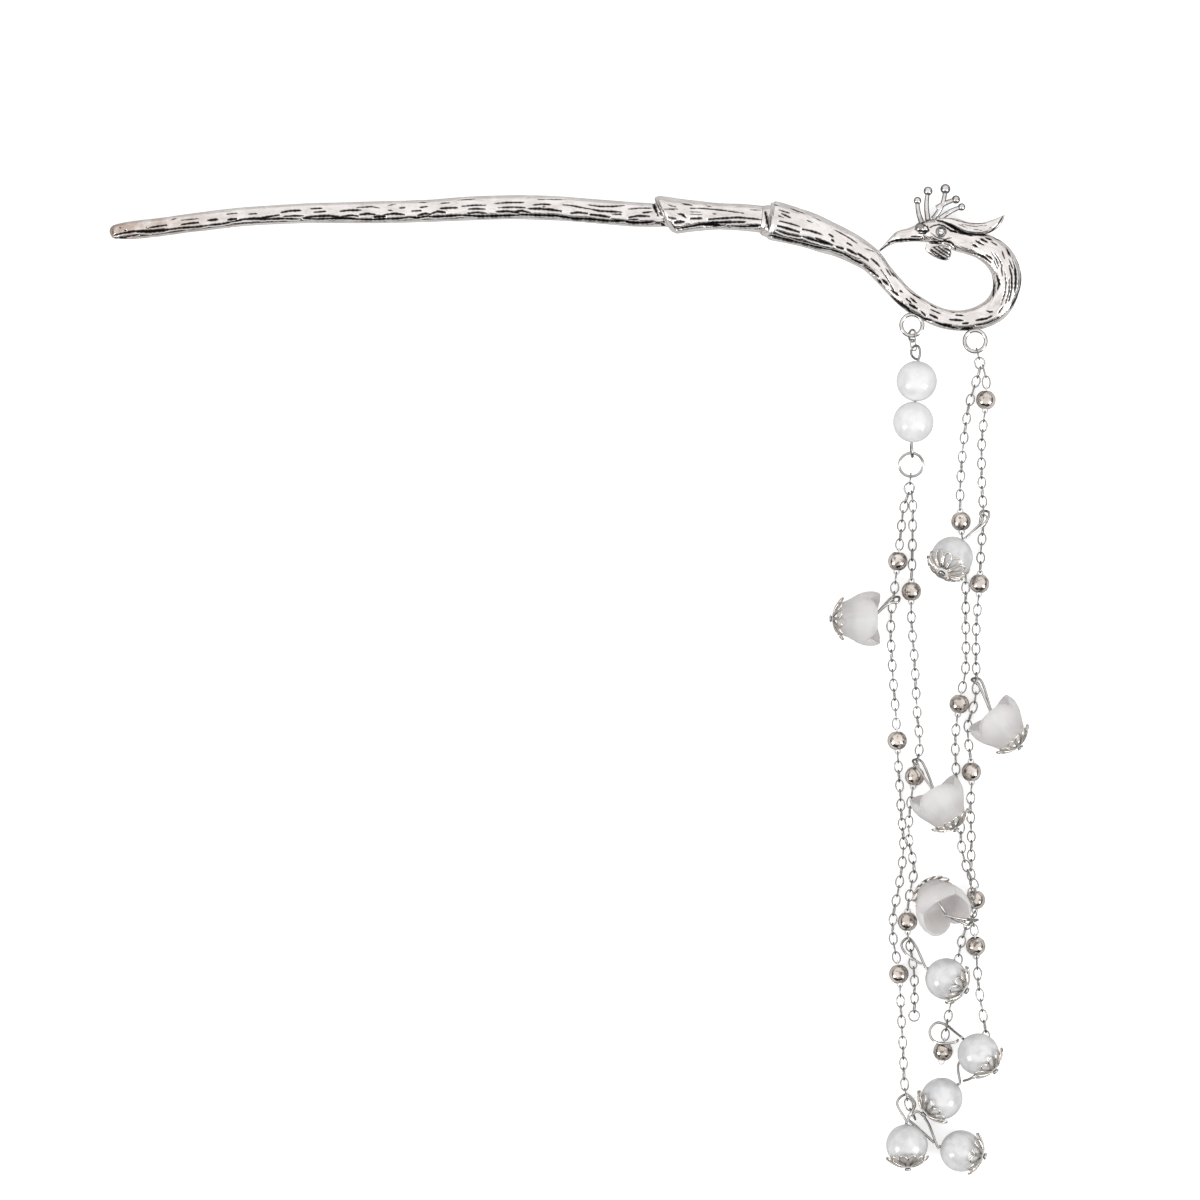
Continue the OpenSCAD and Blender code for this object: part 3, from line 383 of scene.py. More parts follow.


# Casting: grooves drawn on the side that is seen, streaks all round.
# Rows give shares of the length, of the bow or drop and of the width, then the cut's turn in degrees.
plan = {"stickLength": 120.5, "stickWidth": 4.5, "stickBow": 2.4, "cuffWidth": 7.6,
        "neckReach": 46.4, "neckDrop": 20.2, "neckWidth": 7.2, "headLength": 17.8, "headHeight": 4.6,
        "headFrom": 25, "flatness": 0.8, "tableEdge": 9.608, "tableFoot": 155.35}   # headFrom: neck row
stickRows = [
    [0.000, -0.92, 0.12, 0], [0.003, -0.90, 0.42, 0], [0.011, -0.87, 0.60, 0],
    [0.038, -0.75, 0.74, 0], [0.080, -0.52, 0.75, 0], [0.115, -0.27, 0.75, 0],
    [0.152, -0.04, 0.77, 0], [0.190, 0.19, 0.77, 0], [0.228, 0.34, 0.77, 0],
    [0.266, 0.44, 0.79, 0], [0.304, 0.53, 0.81, 0], [0.342, 0.55, 0.84, 0],
    [0.380, 0.57, 0.88, 0], [0.418, 0.60, 0.90, 0], [0.456, 0.65, 0.90, 0],
    [0.494, 0.72, 0.91, 0], [0.532, 0.84, 0.96, 0], [0.570, 0.92, 0.98, 0],
    [0.608, 0.97, 0.98, 0], [0.646, 0.95, 0.99, 0], [0.684, 0.87, 0.99, 0],
    [0.722, 0.73, 0.98, 0], [0.760, 0.57, 0.99, 0], [0.798, 0.42, 1.00, 8],
    [0.826, 0.38, 1.03, 20], [0.838, 0.38, 1.10, 27]]
cuffRows = [
    [0.8395, 0.38, 0.80, 27], [0.8405, 0.38, 0.89, 27], [0.8430, 0.38, 0.96, 27],
    [0.8475, 0.38, 1.00, 26], [0.8550, 0.37, 0.96, 24], [0.8700, 0.34, 0.85, 18],
    [0.8950, 0.31, 0.73, 8], [0.9250, 0.27, 0.64, 0]]
throatRows = [[0.960, 0.20, 1.09, 0], [0.990, 0.05, 1.10, 0]]
neckRows = [
    [-0.004, 0.000, 0.76], [0.000, -0.004, 0.85], [0.007, -0.006, 0.92],
    [0.017, -0.010, 0.98], [0.032, -0.015, 1.00], [0.095, -0.052, 0.95], [0.158, -0.093, 0.91],
    [0.220, -0.148, 0.85], [0.284, -0.204, 0.77], [0.347, -0.276, 0.71],
    [0.406, -0.367, 0.62], [0.452, -0.484, 0.53], [0.493, -0.588, 0.51],
    [0.534, -0.688, 0.51], [0.578, -0.765, 0.51], [0.626, -0.828, 0.49],
    [0.684, -0.887, 0.50], [0.745, -0.910, 0.51], [0.804, -0.900, 0.56],
    [0.858, -0.860, 0.625], [0.901, -0.792, 0.66], [0.931, -0.679, 0.68],
    [0.942, -0.543, 0.75], [0.929, -0.416, 0.75], [0.889, -0.299, 0.73],
    [0.824, -0.222, 0.63], [0.747, -0.200, 0.49]]
headRows = [
    [-0.080, -0.20, 0.80], [0.093, 0.06, 0.90], [0.200, 0.16, 0.86], [0.278, 0.30, 0.95],
    [0.350, 0.48, 1.00], [0.485, 0.53, 0.93], [0.588, 0.47, 0.72], [0.690, 0.39, 0.55],
    [0.794, 0.32, 0.49], [0.845, 0.235, 0.36], [0.895, 0.10, 0.245], [0.945, -0.045, 0.14],
    [1.000, -0.24, 0.08]]
soldered = {"rows": (14, 18), "turns": (-98, -82), "sink": 0.35, "diameter": 4.6, "wire": 0.7}
crest = {"crown": (0.475, 1.05), "height": 5.5, "wire": 0.85, "foot": 1.15, "top": 0.85, "ballShare": 0.94,
         "wires": [                       # foot x, y, tip x, y, bend, ball
    [-0.32, -0.12, -0.45, 0.58, 0.04, 1.50], [-0.10, -0.06, -0.10, 0.90, 0.05, 1.75],
    [0.07, -0.03, 0.48, 0.97, -0.10, 1.95], [0.19, 0.33, 0.83, 0.62, 0.03, 1.60],
    [0.30, -0.03, 1.02, 0.37, 0.05, 1.45]]}

stickPlan = [[(r[0] - 1) * plan["stickLength"], r[1] * plan["stickBow"], r[2] * w, r[3]]
             for rows, w in ((stickRows, plan["stickWidth"]), (cuffRows, plan["cuffWidth"]),
                             (throatRows, plan["stickWidth"])) for r in rows]
neckPlan = [[r[0] * plan["neckReach"], r[1] * plan["neckDrop"], r[2] * plan["neckWidth"], 0]
            for r in neckRows]
headBack = vec(*neckPlan[plan["headFrom"]][:2])
headPlan = [[headBack[0] - r[0] * plan["headLength"], headBack[1] + r[1] * plan["headHeight"],
             r[2] * plan["headHeight"], 0] for r in headRows]


def onHead(back, up):                     # a place by shares of the head's length and height
    return headBack + vec(-back * plan["headLength"], up * plan["headHeight"])


def solderAt(k):
    x, y, width = neckPlan[soldered["rows"][k]][:3]
    out = (width + soldered["diameter"]) / 2 - soldered["sink"]
    return vec(x, y) + out * turn(soldered["turns"][k])


def solderHigh(k):
    return max(neckPlan[soldered["rows"][k]][2] / 2 * plan["flatness"], soldered["wire"] / 2)


topWire = crest["wires"][2]               # its ball is the highest point of the plan
laid = vec(-(solderAt(1)[0] + plan["tableEdge"] - plan["stickLength"]) / 2,
           -(onHead(*crest["crown"])[1] + topWire[3] * crest["height"] + topWire[5] / 2
             + solderAt(0)[1] - plan["tableFoot"]) / 2, 0)

# Drawn grooves: width, then the points x, y of the plan
stickGrooves = [
    [0.48, -83, 81.1, -81.2, 81.5, -79.4, 81.8, -76.6, 81.9, -73.9, 82.1],
    [0.73, -78.8, 81.7, -75.7, 81.8, -73, 82.1], [0.37, -82.9, 80.7, -81, 80.7, -78.5, 81.2],
    [0.4, -76.6, 82.5, -74.8, 82.8, -73.3, 83], [0.44, -73, 82.1, -70.8, 82.4, -67.5, 82.6, -65.6, 82.9],
    [0.4, -70.8, 83, -68.9, 83.3, -67.5, 83.4], [0.22, -70.8, 83.9, -67.5, 84.2],
    [0.51, -66, 83.8, -64, 84], [0.44, -65.6, 82.9, -63.4, 83.1, -61.6, 83.5],
    [0.51, -62.3, 83.9, -60.5, 84.1], [0.26, -62.5, 85, -60.5, 85.2], [0.35, -58.5, 85, -56.9, 85.1],
    [0.48, -61.6, 83.5, -59.2, 84, -56.1, 84.2, -52.8, 84.8],
    [0.48, -59.2, 84, -56.1, 84, -51.9, 84.1, -49.2, 84], [0.51, -52.5, 85.3, -51, 85.6, -48.8, 85.7],
    [0.35, -52.1, 84.5, -50.1, 84.6, -48.4, 84.6], [0.29, -82.1, 82.6, -81.8, 82.5],
    [0.35, -81.2, 82, -80.8, 82], [0.22, -77.2, 82.6, -76.6, 82.2], [0.22, -72.6, 84, -71.7, 84.3],
    [0.4, -47.1, 86, -45, 86.1], [0.37, -46.6, 85.3, -44.2, 85.5],
    [0.51, -48.6, 84.2, -46.4, 84.5, -43.7, 84.6, -41.8, 84.3, -38.9, 84.1],
    [0.44, -48.4, 84.1, -45.9, 84, -42.9, 84.1, -40, 84], [0.51, -41.7, 85.5, -40, 85.7, -37.8, 85.7],
    [0.31, -38.7, 86.2, -36, 86.4, -34.5, 86.1], [0.37, -41.8, 84.4, -39.6, 84.7, -38.2, 84.5],
    [0.48, -38.2, 84.8, -36.7, 85, -35.2, 84.8], [0.48, -40, 84, -36, 83.9, -33.6, 84, -30.1, 84.1],
    [0.66, -35.6, 84.4, -33.4, 84.5], [0.44, -33.6, 84.8, -31.8, 85, -29.9, 84.8],
    [0.48, -33, 84, -30.9, 84.1, -29.2, 84.3], [0.18, -33, 86.6, -31.6, 86.9],
    [0.35, -30.9, 86.1, -29.8, 86.2], [0.27, -33, 85.7, -32, 85.6], [0.37, -28.7, 85.5, -26.8, 85.6],
    [0.51, -29.4, 84.4, -27.6, 84.2, -25.4, 84.6], [0.44, -27.6, 84.6, -26.1, 85, -25, 84.8],
    [0.35, -27.2, 86.2, -25.7, 86.4], [0.27, -27.2, 87.2, -25.9, 87.2],
    [0.48, -25, 85, -23.9, 85.4, -22.4, 85.2], [0.59, -25.4, 84.4, -22.6, 84.5, -19.5, 84.7],
    [0.51, -23.5, 86, -21.7, 86.1, -20.2, 86.1], [0.26, -23.3, 87, -21.7, 87.1],
    [0.37, -19.5, 86.4, -17.1, 86.6, -15.1, 86.6], [0.2, -20.2, 87.6, -17.1, 87.8],
    [0.37, -18.4, 85.8, -16.9, 85.9, -15.1, 85.8],
    [0.59, -19.5, 84.7, -16.2, 84.5, -12.5, 84.6, -8.9, 84.7], [0.4, -18.4, 85, -16.6, 85.2, -15.1, 85],
    [0.38, -13.5, 86.9, -11.1, 87.1, -8.1, 87.1], [0.35, -12.9, 86.1, -10.3, 86.2, -7.8, 86.1],
    [0.44, -13.3, 85.3, -11.1, 85.4, -8.9, 85.1], [0.18, -5.6, 87.7, -3, 87.7, -0.5, 87.7],
    [0.4, -6.5, 86.6, -4.9, 86.8, -3.2, 86.7], [0.29, -4.7, 86.3, -4.1, 86.3],
    [0.51, -7.4, 85.9, -5.2, 85.9, -3, 85.7, -1.2, 85.4], [0.44, -10, 85.3, -8.5, 85.5, -7, 85.1],
    [0.62, -8.9, 84.8, -5.2, 84.7, -2.3, 84.6, 0.3, 84.3],
    [0.37, -1, 86.7, 0.8, 86.5, 2.7, 86.1, 3.9, 85.9], [0.37, 3.6, 86.7, 5.8, 86.4, 8, 86.4, 10.2, 86.6],
    [0.48, 3.9, 85.9, 5.8, 85.5, 8, 85.4, 9.8, 85.3], [0.4, 0.3, 85, 1.7, 85.2, 3.6, 85],
    [0.62, -1.6, 84.4, 1.2, 84.1, 3.9, 84, 6.9, 83.7, 9.4, 83.5], [0.48, 3.9, 84.8, 5.8, 84.6, 7.6, 84.3],
    [0.37, 8, 84.9, 9.8, 84.9], [0.44, 8, 84, 9.4, 83.7, 11.6, 83.5],
    [0.29, 10.9, 85.9, 13.1, 86.1, 15.3, 86.1], [0.42, 13.5, 85.2, 15.3, 85.4],
    [0.42, 10.9, 84.2, 12.7, 84.6, 14.9, 84.5], [0.33, 10.9, 83.9, 12.7, 83.9],
    [0.66, 10.5, 83.4, 13.1, 83.3, 15.7, 83.5], [0.59, 15.5, 87.2, 15.8, 86.1, 16.4, 84.6],
    [0.59, 16.9, 83.3, 18, 82.4], [0.29, 16.6, 85.3, 17.1, 84.6], [0.22, 18.2, 86.6, 19.7, 86.2],
    [0.26, 17.5, 85.8, 19.9, 85.8], [0.31, 20.8, 86.9, 22.6, 86.6],
    [0.31, 22.2, 86, 24.8, 86, 28.1, 85.7, 32.1, 85.1], [0.26, 22.2, 85.3, 24.1, 85.3],
    [0.24, 22.2, 84.9, 24.4, 84.8], [0.51, 19.9, 85, 20.8, 84.8, 21.5, 84.2], [0.37, 18.2, 84.2, 19.7, 84],
    [0.66, 19.3, 83.3, 21.1, 83.4], [0.48, 22.2, 84, 24.4, 84.1],
    [0.59, 19.7, 82.1, 22.2, 82.6, 24.1, 83, 26.3, 83.3, 29.6, 83.4, 32.3, 83.4],
    [0.37, 22.2, 82.5, 24.1, 82.9], [0.44, 25.5, 83.9, 28.1, 84.1, 31, 84.3, 34.3, 84, 35.4, 83.9],
    [0.33, 26.3, 82.6, 28.8, 82.9], [0.44, 29.6, 82.7, 32.3, 82.6, 34.7, 82.6],
    [0.4, 32.9, 82.9, 35.1, 82.8], [0.55, 24.1, 82.9, 27.7, 82.9], [0.26, 26.3, 85, 27, 85],
    [0.18, 33.2, 85.8, 35.1, 85.7], [0.18, 25.2, 86.5, 26.1, 86.4]]
neckGrooves = [
    [0.51, 35.9, 85.5, 36.2, 83.9, 36.5, 82.2], [0.31, 38.4, 85.7, 40.4, 85.1],
    [0.27, 37.6, 86.7, 38.4, 86.5], [0.37, 38.9, 85, 40.6, 84.2], [0.24, 38.2, 84.6, 39.3, 84.2],
    [0.37, 38.4, 83.6, 40.2, 83.2, 42.2, 82.6], [0.48, 38, 82.7, 40.2, 82.1, 42.2, 81.5],
    [0.48, 38, 81.8, 40.2, 81.1, 42.4, 80.7], [0.55, 36.7, 81, 39.5, 80.3, 42.4, 79.6],
    [0.27, 40.6, 86, 43.1, 85.1], [0.44, 42.6, 82.1, 44.2, 81.8, 46.4, 81.1],
    [0.27, 43.5, 83.8, 44.6, 83.3], [0.55, 42.8, 80.7, 45.1, 80, 47.5, 79.3],
    [0.49, 42.4, 79.6, 45.1, 78.9, 47.5, 78.4], [0.48, 45.1, 80.4, 47, 79.7, 48.2, 79.1],
    [0.22, 47.5, 85.1, 49, 84.2], [0.24, 45.3, 84.2, 46, 83.8],
    [0.27, 48.6, 82.1, 50.1, 81.3, 51.5, 80.5, 52.8, 79.6], [0.4, 47.5, 81.3, 48.4, 80.7],
    [0.37, 47.9, 80.3, 48.6, 79.8], [0.4, 50.8, 79.7, 51.9, 79.1], [0.49, 48.8, 78.9, 50.3, 78.5],
    [0.49, 47.5, 78.5, 50.1, 77.7, 51.9, 76.7], [0.51, 50.8, 78.5, 52.6, 77.5],
    [0.48, 52.8, 77.7, 54.8, 76.4], [0.55, 51.5, 76.8, 53.7, 75.8],
    [0.38, 55.2, 76.9, 56.3, 76, 56.9, 75.4], [0.48, 54.3, 75.2, 55.6, 74.3, 56.7, 73.4],
    [0.18, 54.1, 78.7, 55.9, 78.2], [0.24, 57, 74.9, 58.3, 73.2, 58.9, 72], [0.37, 58.1, 75, 58.9, 73.8],
    [0.33, 58.7, 74.9, 59.6, 73.6], [0.26, 59.4, 74.3, 60.3, 73.2], [0.55, 57.4, 72.9, 58.5, 72],
    [0.48, 56.7, 72.9, 57.2, 72.1], [0.37, 58.9, 72, 59.4, 71], [0.48, 59, 71, 60.3, 70.1],
    [0.4, 60.5, 71, 61.1, 70.7], [0.24, 61.4, 72.5, 62, 71.8], [0.81, 58.9, 69.9, 60.3, 68.7, 62.2, 67.6],
    [0.4, 61.6, 69.6, 62.7, 68.7], [0.46, 62.5, 69.7, 63.6, 68.8], [0.55, 62.2, 68.5, 63.8, 67.6],
    [0.49, 61.8, 67.6, 63.3, 66.6, 64.9, 65.9], [0.4, 62.9, 70.5, 64.4, 69.6],
    [0.22, 61.6, 71.6, 62.9, 70.5, 64.4, 69.8], [0.37, 64.4, 67.2, 65.3, 66.3],
    [0.51, 64.7, 65.9, 66.6, 65.4], [0.33, 66.2, 68.5, 67.5, 67.8], [0.35, 66.2, 67.6, 68, 66.8],
    [0.51, 66, 66.6, 67.5, 65.9], [0.49, 66.7, 65.3, 68.8, 64.5, 71.3, 64], [0.44, 68, 64.8, 70.2, 64.6],
    [0.26, 69.9, 67.2, 70.6, 67.1], [0.44, 70.8, 66.6, 72.2, 66.5],
    [0.44, 69.5, 65.7, 71, 65.6, 72.2, 65.5], [0.4, 72, 64.9, 73.1, 65], [0.73, 71.9, 63.9, 73.9, 64.1],
    [0.55, 74.4, 63.5, 76.4, 63.9], [0.31, 76.3, 67.3, 77.4, 67], [0.44, 76.8, 67, 77.5, 67.1],
    [0.44, 74.4, 65.5, 76.4, 65.8, 77.4, 66.3], [0.4, 74.4, 64.6, 76.4, 64.9, 77.7, 65.5],
    [0.33, 78.6, 66.8, 79.4, 68.1], [0.49, 81.4, 68.7, 82.5, 70.9, 82.9, 73.2, 82.7, 75.1, 81.8, 77.1],
    [0.48, 80.8, 67.7, 82.1, 69.9], [0.55, 81.6, 70.9, 81.8, 73.1, 81.6, 75.3],
    [0.4, 80.5, 69, 81, 71.4, 81, 73.6, 80.5, 75.6], [0.31, 79.9, 68.7, 80.5, 70.9, 80.5, 73.1],
    [0.31, 79, 68.3, 79.7, 70.5, 79.9, 72.5, 79.6, 74.5], [0.27, 80.5, 76.7, 81.2, 74.9],
    [0.44, 80.1, 78.7, 80.8, 77.3], [0.27, 79.2, 78.2, 79.7, 76.7],
    [0.27, 77.9, 77.8, 78.8, 76.4, 79.2, 75.3], [0.27, 77.2, 78, 78.1, 76.7, 78.5, 75.4],
    [0.51, 78.1, 73.8, 78.6, 72.3, 78.3, 71.2], [0.48, 77.4, 73.2, 77.7, 71.8, 77.5, 69.9],
    [0.27, 79, 75.3, 79.2, 73.6], [0.22, 77.7, 76.4, 78.3, 74.9], [0.24, 81.2, 76.4, 81.9, 74.5],
    [0.44, 73.3, 79.6, 74.8, 78.9], [0.44, 74.4, 80.1, 75.9, 79.3], [0.51, 75.3, 80.5, 76.6, 79.8],
    [0.51, 76.3, 80.7, 77.4, 80.3], [0.31, 77.2, 80, 78.3, 79.3], [0.29, 72.8, 80.5, 73.3, 80.4],
    [0.37, 72.6, 79.3, 73, 78.6], [0.31, 77.7, 80.8, 79, 80.1], [0.53, 70.8, 78.3, 72.8, 78.1, 74.4, 77.6],
    [0.48, 74.4, 77.7, 76.1, 76.9, 77.2, 76], [0.4, 76.3, 77.4, 77.4, 76.7]]
headGrooves = [
    [0.33, 57, 78.4, 58, 79.2, 58.9, 79.8], [0.55, 58.5, 79.9, 60, 80.2, 62.2, 80.3, 64.7, 80.2],
    [0.31, 63.3, 82.2, 63.8, 82.9, 64.5, 83.1, 65.5, 82.8, 65.8, 82, 65.1, 81.4, 64, 81.5],
    [0.66, 64.7, 81.8, 65.5, 81.8], [0.44, 64, 82.9, 64.9, 82.8], [0.31, 62.7, 80.9, 64.4, 80.8],
    [0.24, 64.9, 81.2, 65.2, 80.2], [0.18, 65.3, 81.1, 66.2, 80.4, 67.1, 79.9],
    [0.55, 66.9, 83.8, 68.4, 83.6, 69.9, 82.9, 71.7, 81.9, 72.8, 81.5],
    [0.62, 72.6, 81.5, 74.6, 81.2, 76.3, 81.4], [0.33, 66, 82.5, 66.7, 82.9, 67.7, 83.1, 68.9, 82.8],
    [0.51, 68.8, 82.7, 69.9, 82, 71.1, 81.8], [0.16, 66.2, 81.5, 67.3, 80.6, 68.8, 80.2, 70, 80.7],
    [0.46, 65.8, 79.8, 67.3, 79.8, 68.8, 80, 69.9, 79.7, 70.6, 78.9, 70.8, 78.4]]
plumeGrooves = [
    [0.16, 69.1, 84.4, 71, 83.8, 73.5, 83.2, 76.3, 83.3], [0.15, 71.7, 83.1, 74.4, 82.7, 76.4, 82.9],
    [0.13, 70.8, 83.3, 72.8, 82.4, 75.3, 82, 77.2, 82.5],
    [0.33, 76.3, 81.4, 77.5, 82, 78.6, 83.2, 79.4, 84.6],
    [0.55, 67.3, 83.8, 68.4, 83.6, 69.9, 82.9, 71.7, 81.9, 72.8, 81.5],
    [0.59, 72.6, 81.5, 74.6, 81.2, 76.3, 81.3]]
wattleGrooves = [
    [0.48, 66.2, 78.6, 67.3, 77.8, 68.8, 76.8], [0.46, 66.6, 79, 68, 78, 69.4, 77.1],
    [0.46, 67.5, 79, 68.8, 78.1, 69.8, 77.5], [0.44, 68.4, 78.9, 69.9, 78.2],
    [0.26, 66, 78.5, 67.1, 77.4, 68.6, 76.7, 69.6, 77.3, 70, 78.4], [0.22, 66.4, 78.9, 68, 79.2, 69.7, 79],
    [0.51, 65.5, 79.8, 67.3, 79.9, 69.3, 79.8]]

casting = {"grooveDepth": 0.17, "barkDepth": 0.09, "barkLine": 0.055, "barkStretch": 0.22, "barkFine": 1.15,
           "barkSeen": 0.18, "barkUnder": 0.1}       # barkSeen: share kept where grooves are drawn


def castBody(name, rows, table, seed, above, below, spacing):      # above, below: points round each half
    s = evenly(smooth(rows, 16), spacing, vec(1, 1, 0.5, 0))
    run = lengthAt(s[:, :2])
    t = np.gradient(s[:, :2], axis=0)
    q = np.arctan2(t[:, 1], t[:, 0]) + np.radians(90 + s[:, 3])
    f = np.concatenate([np.linspace(0, np.pi, above, endpoint=False),
                        np.linspace(np.pi, 2 * np.pi, below, endpoint=False)])
    w = s[:, 2:3] / 2
    h = w * plan["flatness"] * np.cos(np.radians(s[:, 3:4]))
    side, rise = np.cos(f)[None, :], np.sin(f)[None, :]
    x = s[:, 0:1] + w * side * np.cos(q)[:, None] + laid[0]
    y = s[:, 1:2] + w * side * np.sin(q)[:, None] + laid[1]
    angle = np.broadcast_to(f[None, :], x.shape)
    seen = ease(-0.25, 0.05, np.broadcast_to(rise, x.shape))
    groove = groovesAt(x, y, table) * seen
    streak = barkAt(np.broadcast_to(run[:, None], x.shape), angle, np.broadcast_to(w, x.shape), seed)
    thin = casting["barkLine"]
    line = (1 - ease(thin * 0.4, thin * 1.6, np.abs(streak))) * ease(0.4, 1.0, w)
    bark = line * (1 - (1 - casting["barkSeen"]) * seen)
    sink = groove * casting["grooveDepth"] * ease(0.1, 1.2, w) + (bark + casting["barkUnder"] * line) \
        * casting["barkDepth"]
    flow = np.hypot(side / w, rise / h)
    across = w * side - sink * side / w / flow
    up = h * rise - sink * rise / h / flow
    points = np.stack([s[:, 0:1] + across * np.cos(q)[:, None] + laid[0],
                       s[:, 1:2] + across * np.sin(q)[:, None] + laid[1],
                       np.maximum(0.0, h + up)], -1)
    return keep(skin(name, points, groove=groove, bark=bark), "cast", "casting")


castParts = [
    castBody("stick", stickPlan, stickGrooves, 0.0, 58, 30, 0.14),
    castBody("neck_loop", [stickPlan[-1]] + neckPlan, neckGrooves, 7.0, 76, 34, 0.14),
    castBody("head", headPlan, headGrooves, 13.0, 72, 32, 0.09)]
print("stick, neck and head done:", [len(part.data.polygons) for part in castParts])


def leaf(name, rows, table, flat, around=48):   # plume and wattle: x, y, half width, half height, z
    s = evenly(smooth(rows, 12), 0.07, vec(1, 1, 0.6, 0, 0))
    t = np.gradient(s[:, :2], axis=0)
    t /= np.linalg.norm(t, axis=1)[:, None]
    f = np.linspace(0, 2 * np.pi, around, endpoint=False)
    x = s[:, 0:1] - np.cos(f) * s[:, 2:3] * t[:, 1:2] + laid[0]
    y = s[:, 1:2] + np.cos(f) * s[:, 2:3] * t[:, 0:1] + laid[1]
    groove = groovesAt(x, y, table, 0.12) * ease(-0.4, 0.0, np.broadcast_to(np.sin(f), x.shape))
    z = s[:, 4:5] + np.sin(f) * (s[:, 3:4] - flat * groove)
    return keep(skin(name, np.stack([x, y, z], -1), groove=groove, bark=groove * 0), "cast", "casting")


plume = {"root": (0.42, 0.93), "length": 12.4, "width": 2.2, "thick": 0.4, "rise": 0.72, "rows": [
    [-0.02, -0.06, 0.30], [0.10, -0.03, 0.55], [0.27, -0.22, 0.85], [0.47, -0.60, 0.98],
    [0.66, -0.66, 1.00], [0.81, -0.40, 0.92], [0.91, -0.05, 0.66], [0.97, 0.28, 0.34],
    [1.00, 0.52, 0.08]]}
headTop = plan["headHeight"] * plan["flatness"]
plumeRoot = onHead(*plume["root"])
plumeHigh = headTop * plume["rise"]
leaf("plume", [[plumeRoot[0] + r[0] * plume["length"], plumeRoot[1] + r[1] * plume["width"],
                r[2] * plume["width"] / 2, min(r[2] / 2, plume["thick"]) * plume["width"], plumeHigh]
               for r in plume["rows"]], plumeGrooves, 0.1)

wattle = {"root": (0.53, -0.08), "length": 4.6, "width": 3.3, "thick": 0.55, "rise": 0.62, "rows": [
    [0.00, 0.00, 0.30], [0.12, 0.06, 0.55], [0.42, 0.20, 0.83], [0.75, 0.29, 1.00],
    [0.90, 0.27, 0.83], [1.00, 0.24, 0.35]]}
wattleRoot = onHead(*wattle["root"])
leaf("wattle", [[wattleRoot[0] + r[0] * wattle["length"], wattleRoot[1] - r[1] * wattle["width"],
                 r[2] * wattle["width"] / 2, r[2] * wattle["width"] / 2 * wattle["thick"],
                 headTop * wattle["rise"]] for r in wattle["rows"]],
     wattleGrooves, 0.12)


def formTree(name, inputs, output, nodes, joins):       # each join: a node, its output, a node, its input
    tree = bpy.data.node_groups.new(name, "GeometryNodeTree")
    for label, kind, value in inputs + [("Finish", "Material", None)]:
        socket = tree.interface.new_socket(label, in_out="INPUT", socket_type="NodeSocket" + kind)
        if value is not None:
            socket.default_value = value
    tree.interface.new_socket(output, in_out="OUTPUT", socket_type="NodeSocketGeometry")
    made = {"given": tree.nodes.new("NodeGroupInput"), "end": tree.nodes.new("NodeGroupOutput")}
    nodes = {**nodes, "real": ("GeometryNodeRealizeInstances", {}, {}),
             "paint": ("GeometryNodeSetMaterial", {}, {})}
    for key, (kind, settings, values) in nodes.items():
        made[key] = tree.nodes.new(kind)
        for setting, value in settings.items():
            setattr(made[key], setting, value)
        for socket, value in values.items():
            made[key].inputs[socket].default_value = value
    joins = joins + [("real", 0, "paint", "Geometry"), ("given", "Finish", "paint", "Material"),
                     ("paint", "Geometry", "end", output)]
    for start, out, end, into in joins:
        tree.links.new(made[start].outputs[out], made[end].inputs[into])
    return tree


# every open or closed path becomes a round wire
wires = formTree("wire on paths", [("Paths", "Geometry", None), ("Sides", "Int", 10)], "Wire", {
    "curve": ("GeometryNodeMeshToCurve", {}, {}),
    "radius": ("GeometryNodeInputNamedAttribute", {"data_type": "FLOAT"}, {"Name": "wireRadius"}),
    "profile": ("GeometryNodeCurvePrimitiveCircle", {}, {"Radius": 1.0}),
    "wire": ("GeometryNodeCurveToMesh", {}, {"Fill Caps": True})}, [
    ("given", "Paths", "curve", "Mesh"), ("curve", "Curve", "wire", "Curve"),
    ("radius", "Attribute", "wire", "Scale"), ("given", "Sides", "profile", "Resolution"),
    ("profile", "Curve", "wire", "Profile Curve"), ("wire", "Mesh", "real", "Geometry")])


def solid(obj, tree, values):             # runs a tree on an object and leaves a plain mesh
    grown = obj.modifiers.new("grown", "NODES")
    grown.node_group = tree
    for item in tree.interface.items_tree:
        if item.item_type == "SOCKET" and item.in_out == "INPUT" and item.name in values:
            grown[item.identifier] = values[item.name]
    dg = bpy.context.evaluated_depsgraph_get()
    data = bpy.data.meshes.new_from_object(obj.evaluated_get(dg))
    obj.modifiers.remove(grown)
    obj.data = smoothed(data)
    return obj


def wireForm(name, paths, look, sides=10):              # paths: points, radius at each or one, closed
    points, edges, radii = [], [], []
    for p, r, closed in paths:
        n, first = len(p), len(points)
        points += [list(q) for q in p]
        radii += list(r if np.ndim(r) else [r] * n)
        edges += [(first + i, first + i + 1) for i in range(n - 1)]
        if closed:
            edges.append((first + n - 1, first))
    data = bare(name, points, edges, [], wireRadius=("FLOAT", np.array(radii) * mm))
    return solid(placed(name, data), wires, {"Sides": sides, "Finish": looks[look]})


def wirePiece(name, paths, look, node, sides):
    return keep(wireForm(name, paths, look, sides), look, node)


def circlePath(mid, across, up, radius, count):
    a = np.linspace(0, 2 * np.pi, count, endpoint=False)[:, None]
    return mid + radius * (np.cos(a) * across + np.sin(a) * up)


def ballPath(mid, axis, radius, steps):                 # a ball as a short path whose wire swells
    a = np.linspace(0.06, math.pi - 0.06, steps)
    return [mid - axis * radius * math.cos(v) for v in a], [radius * math.sin(v) for v in a], False


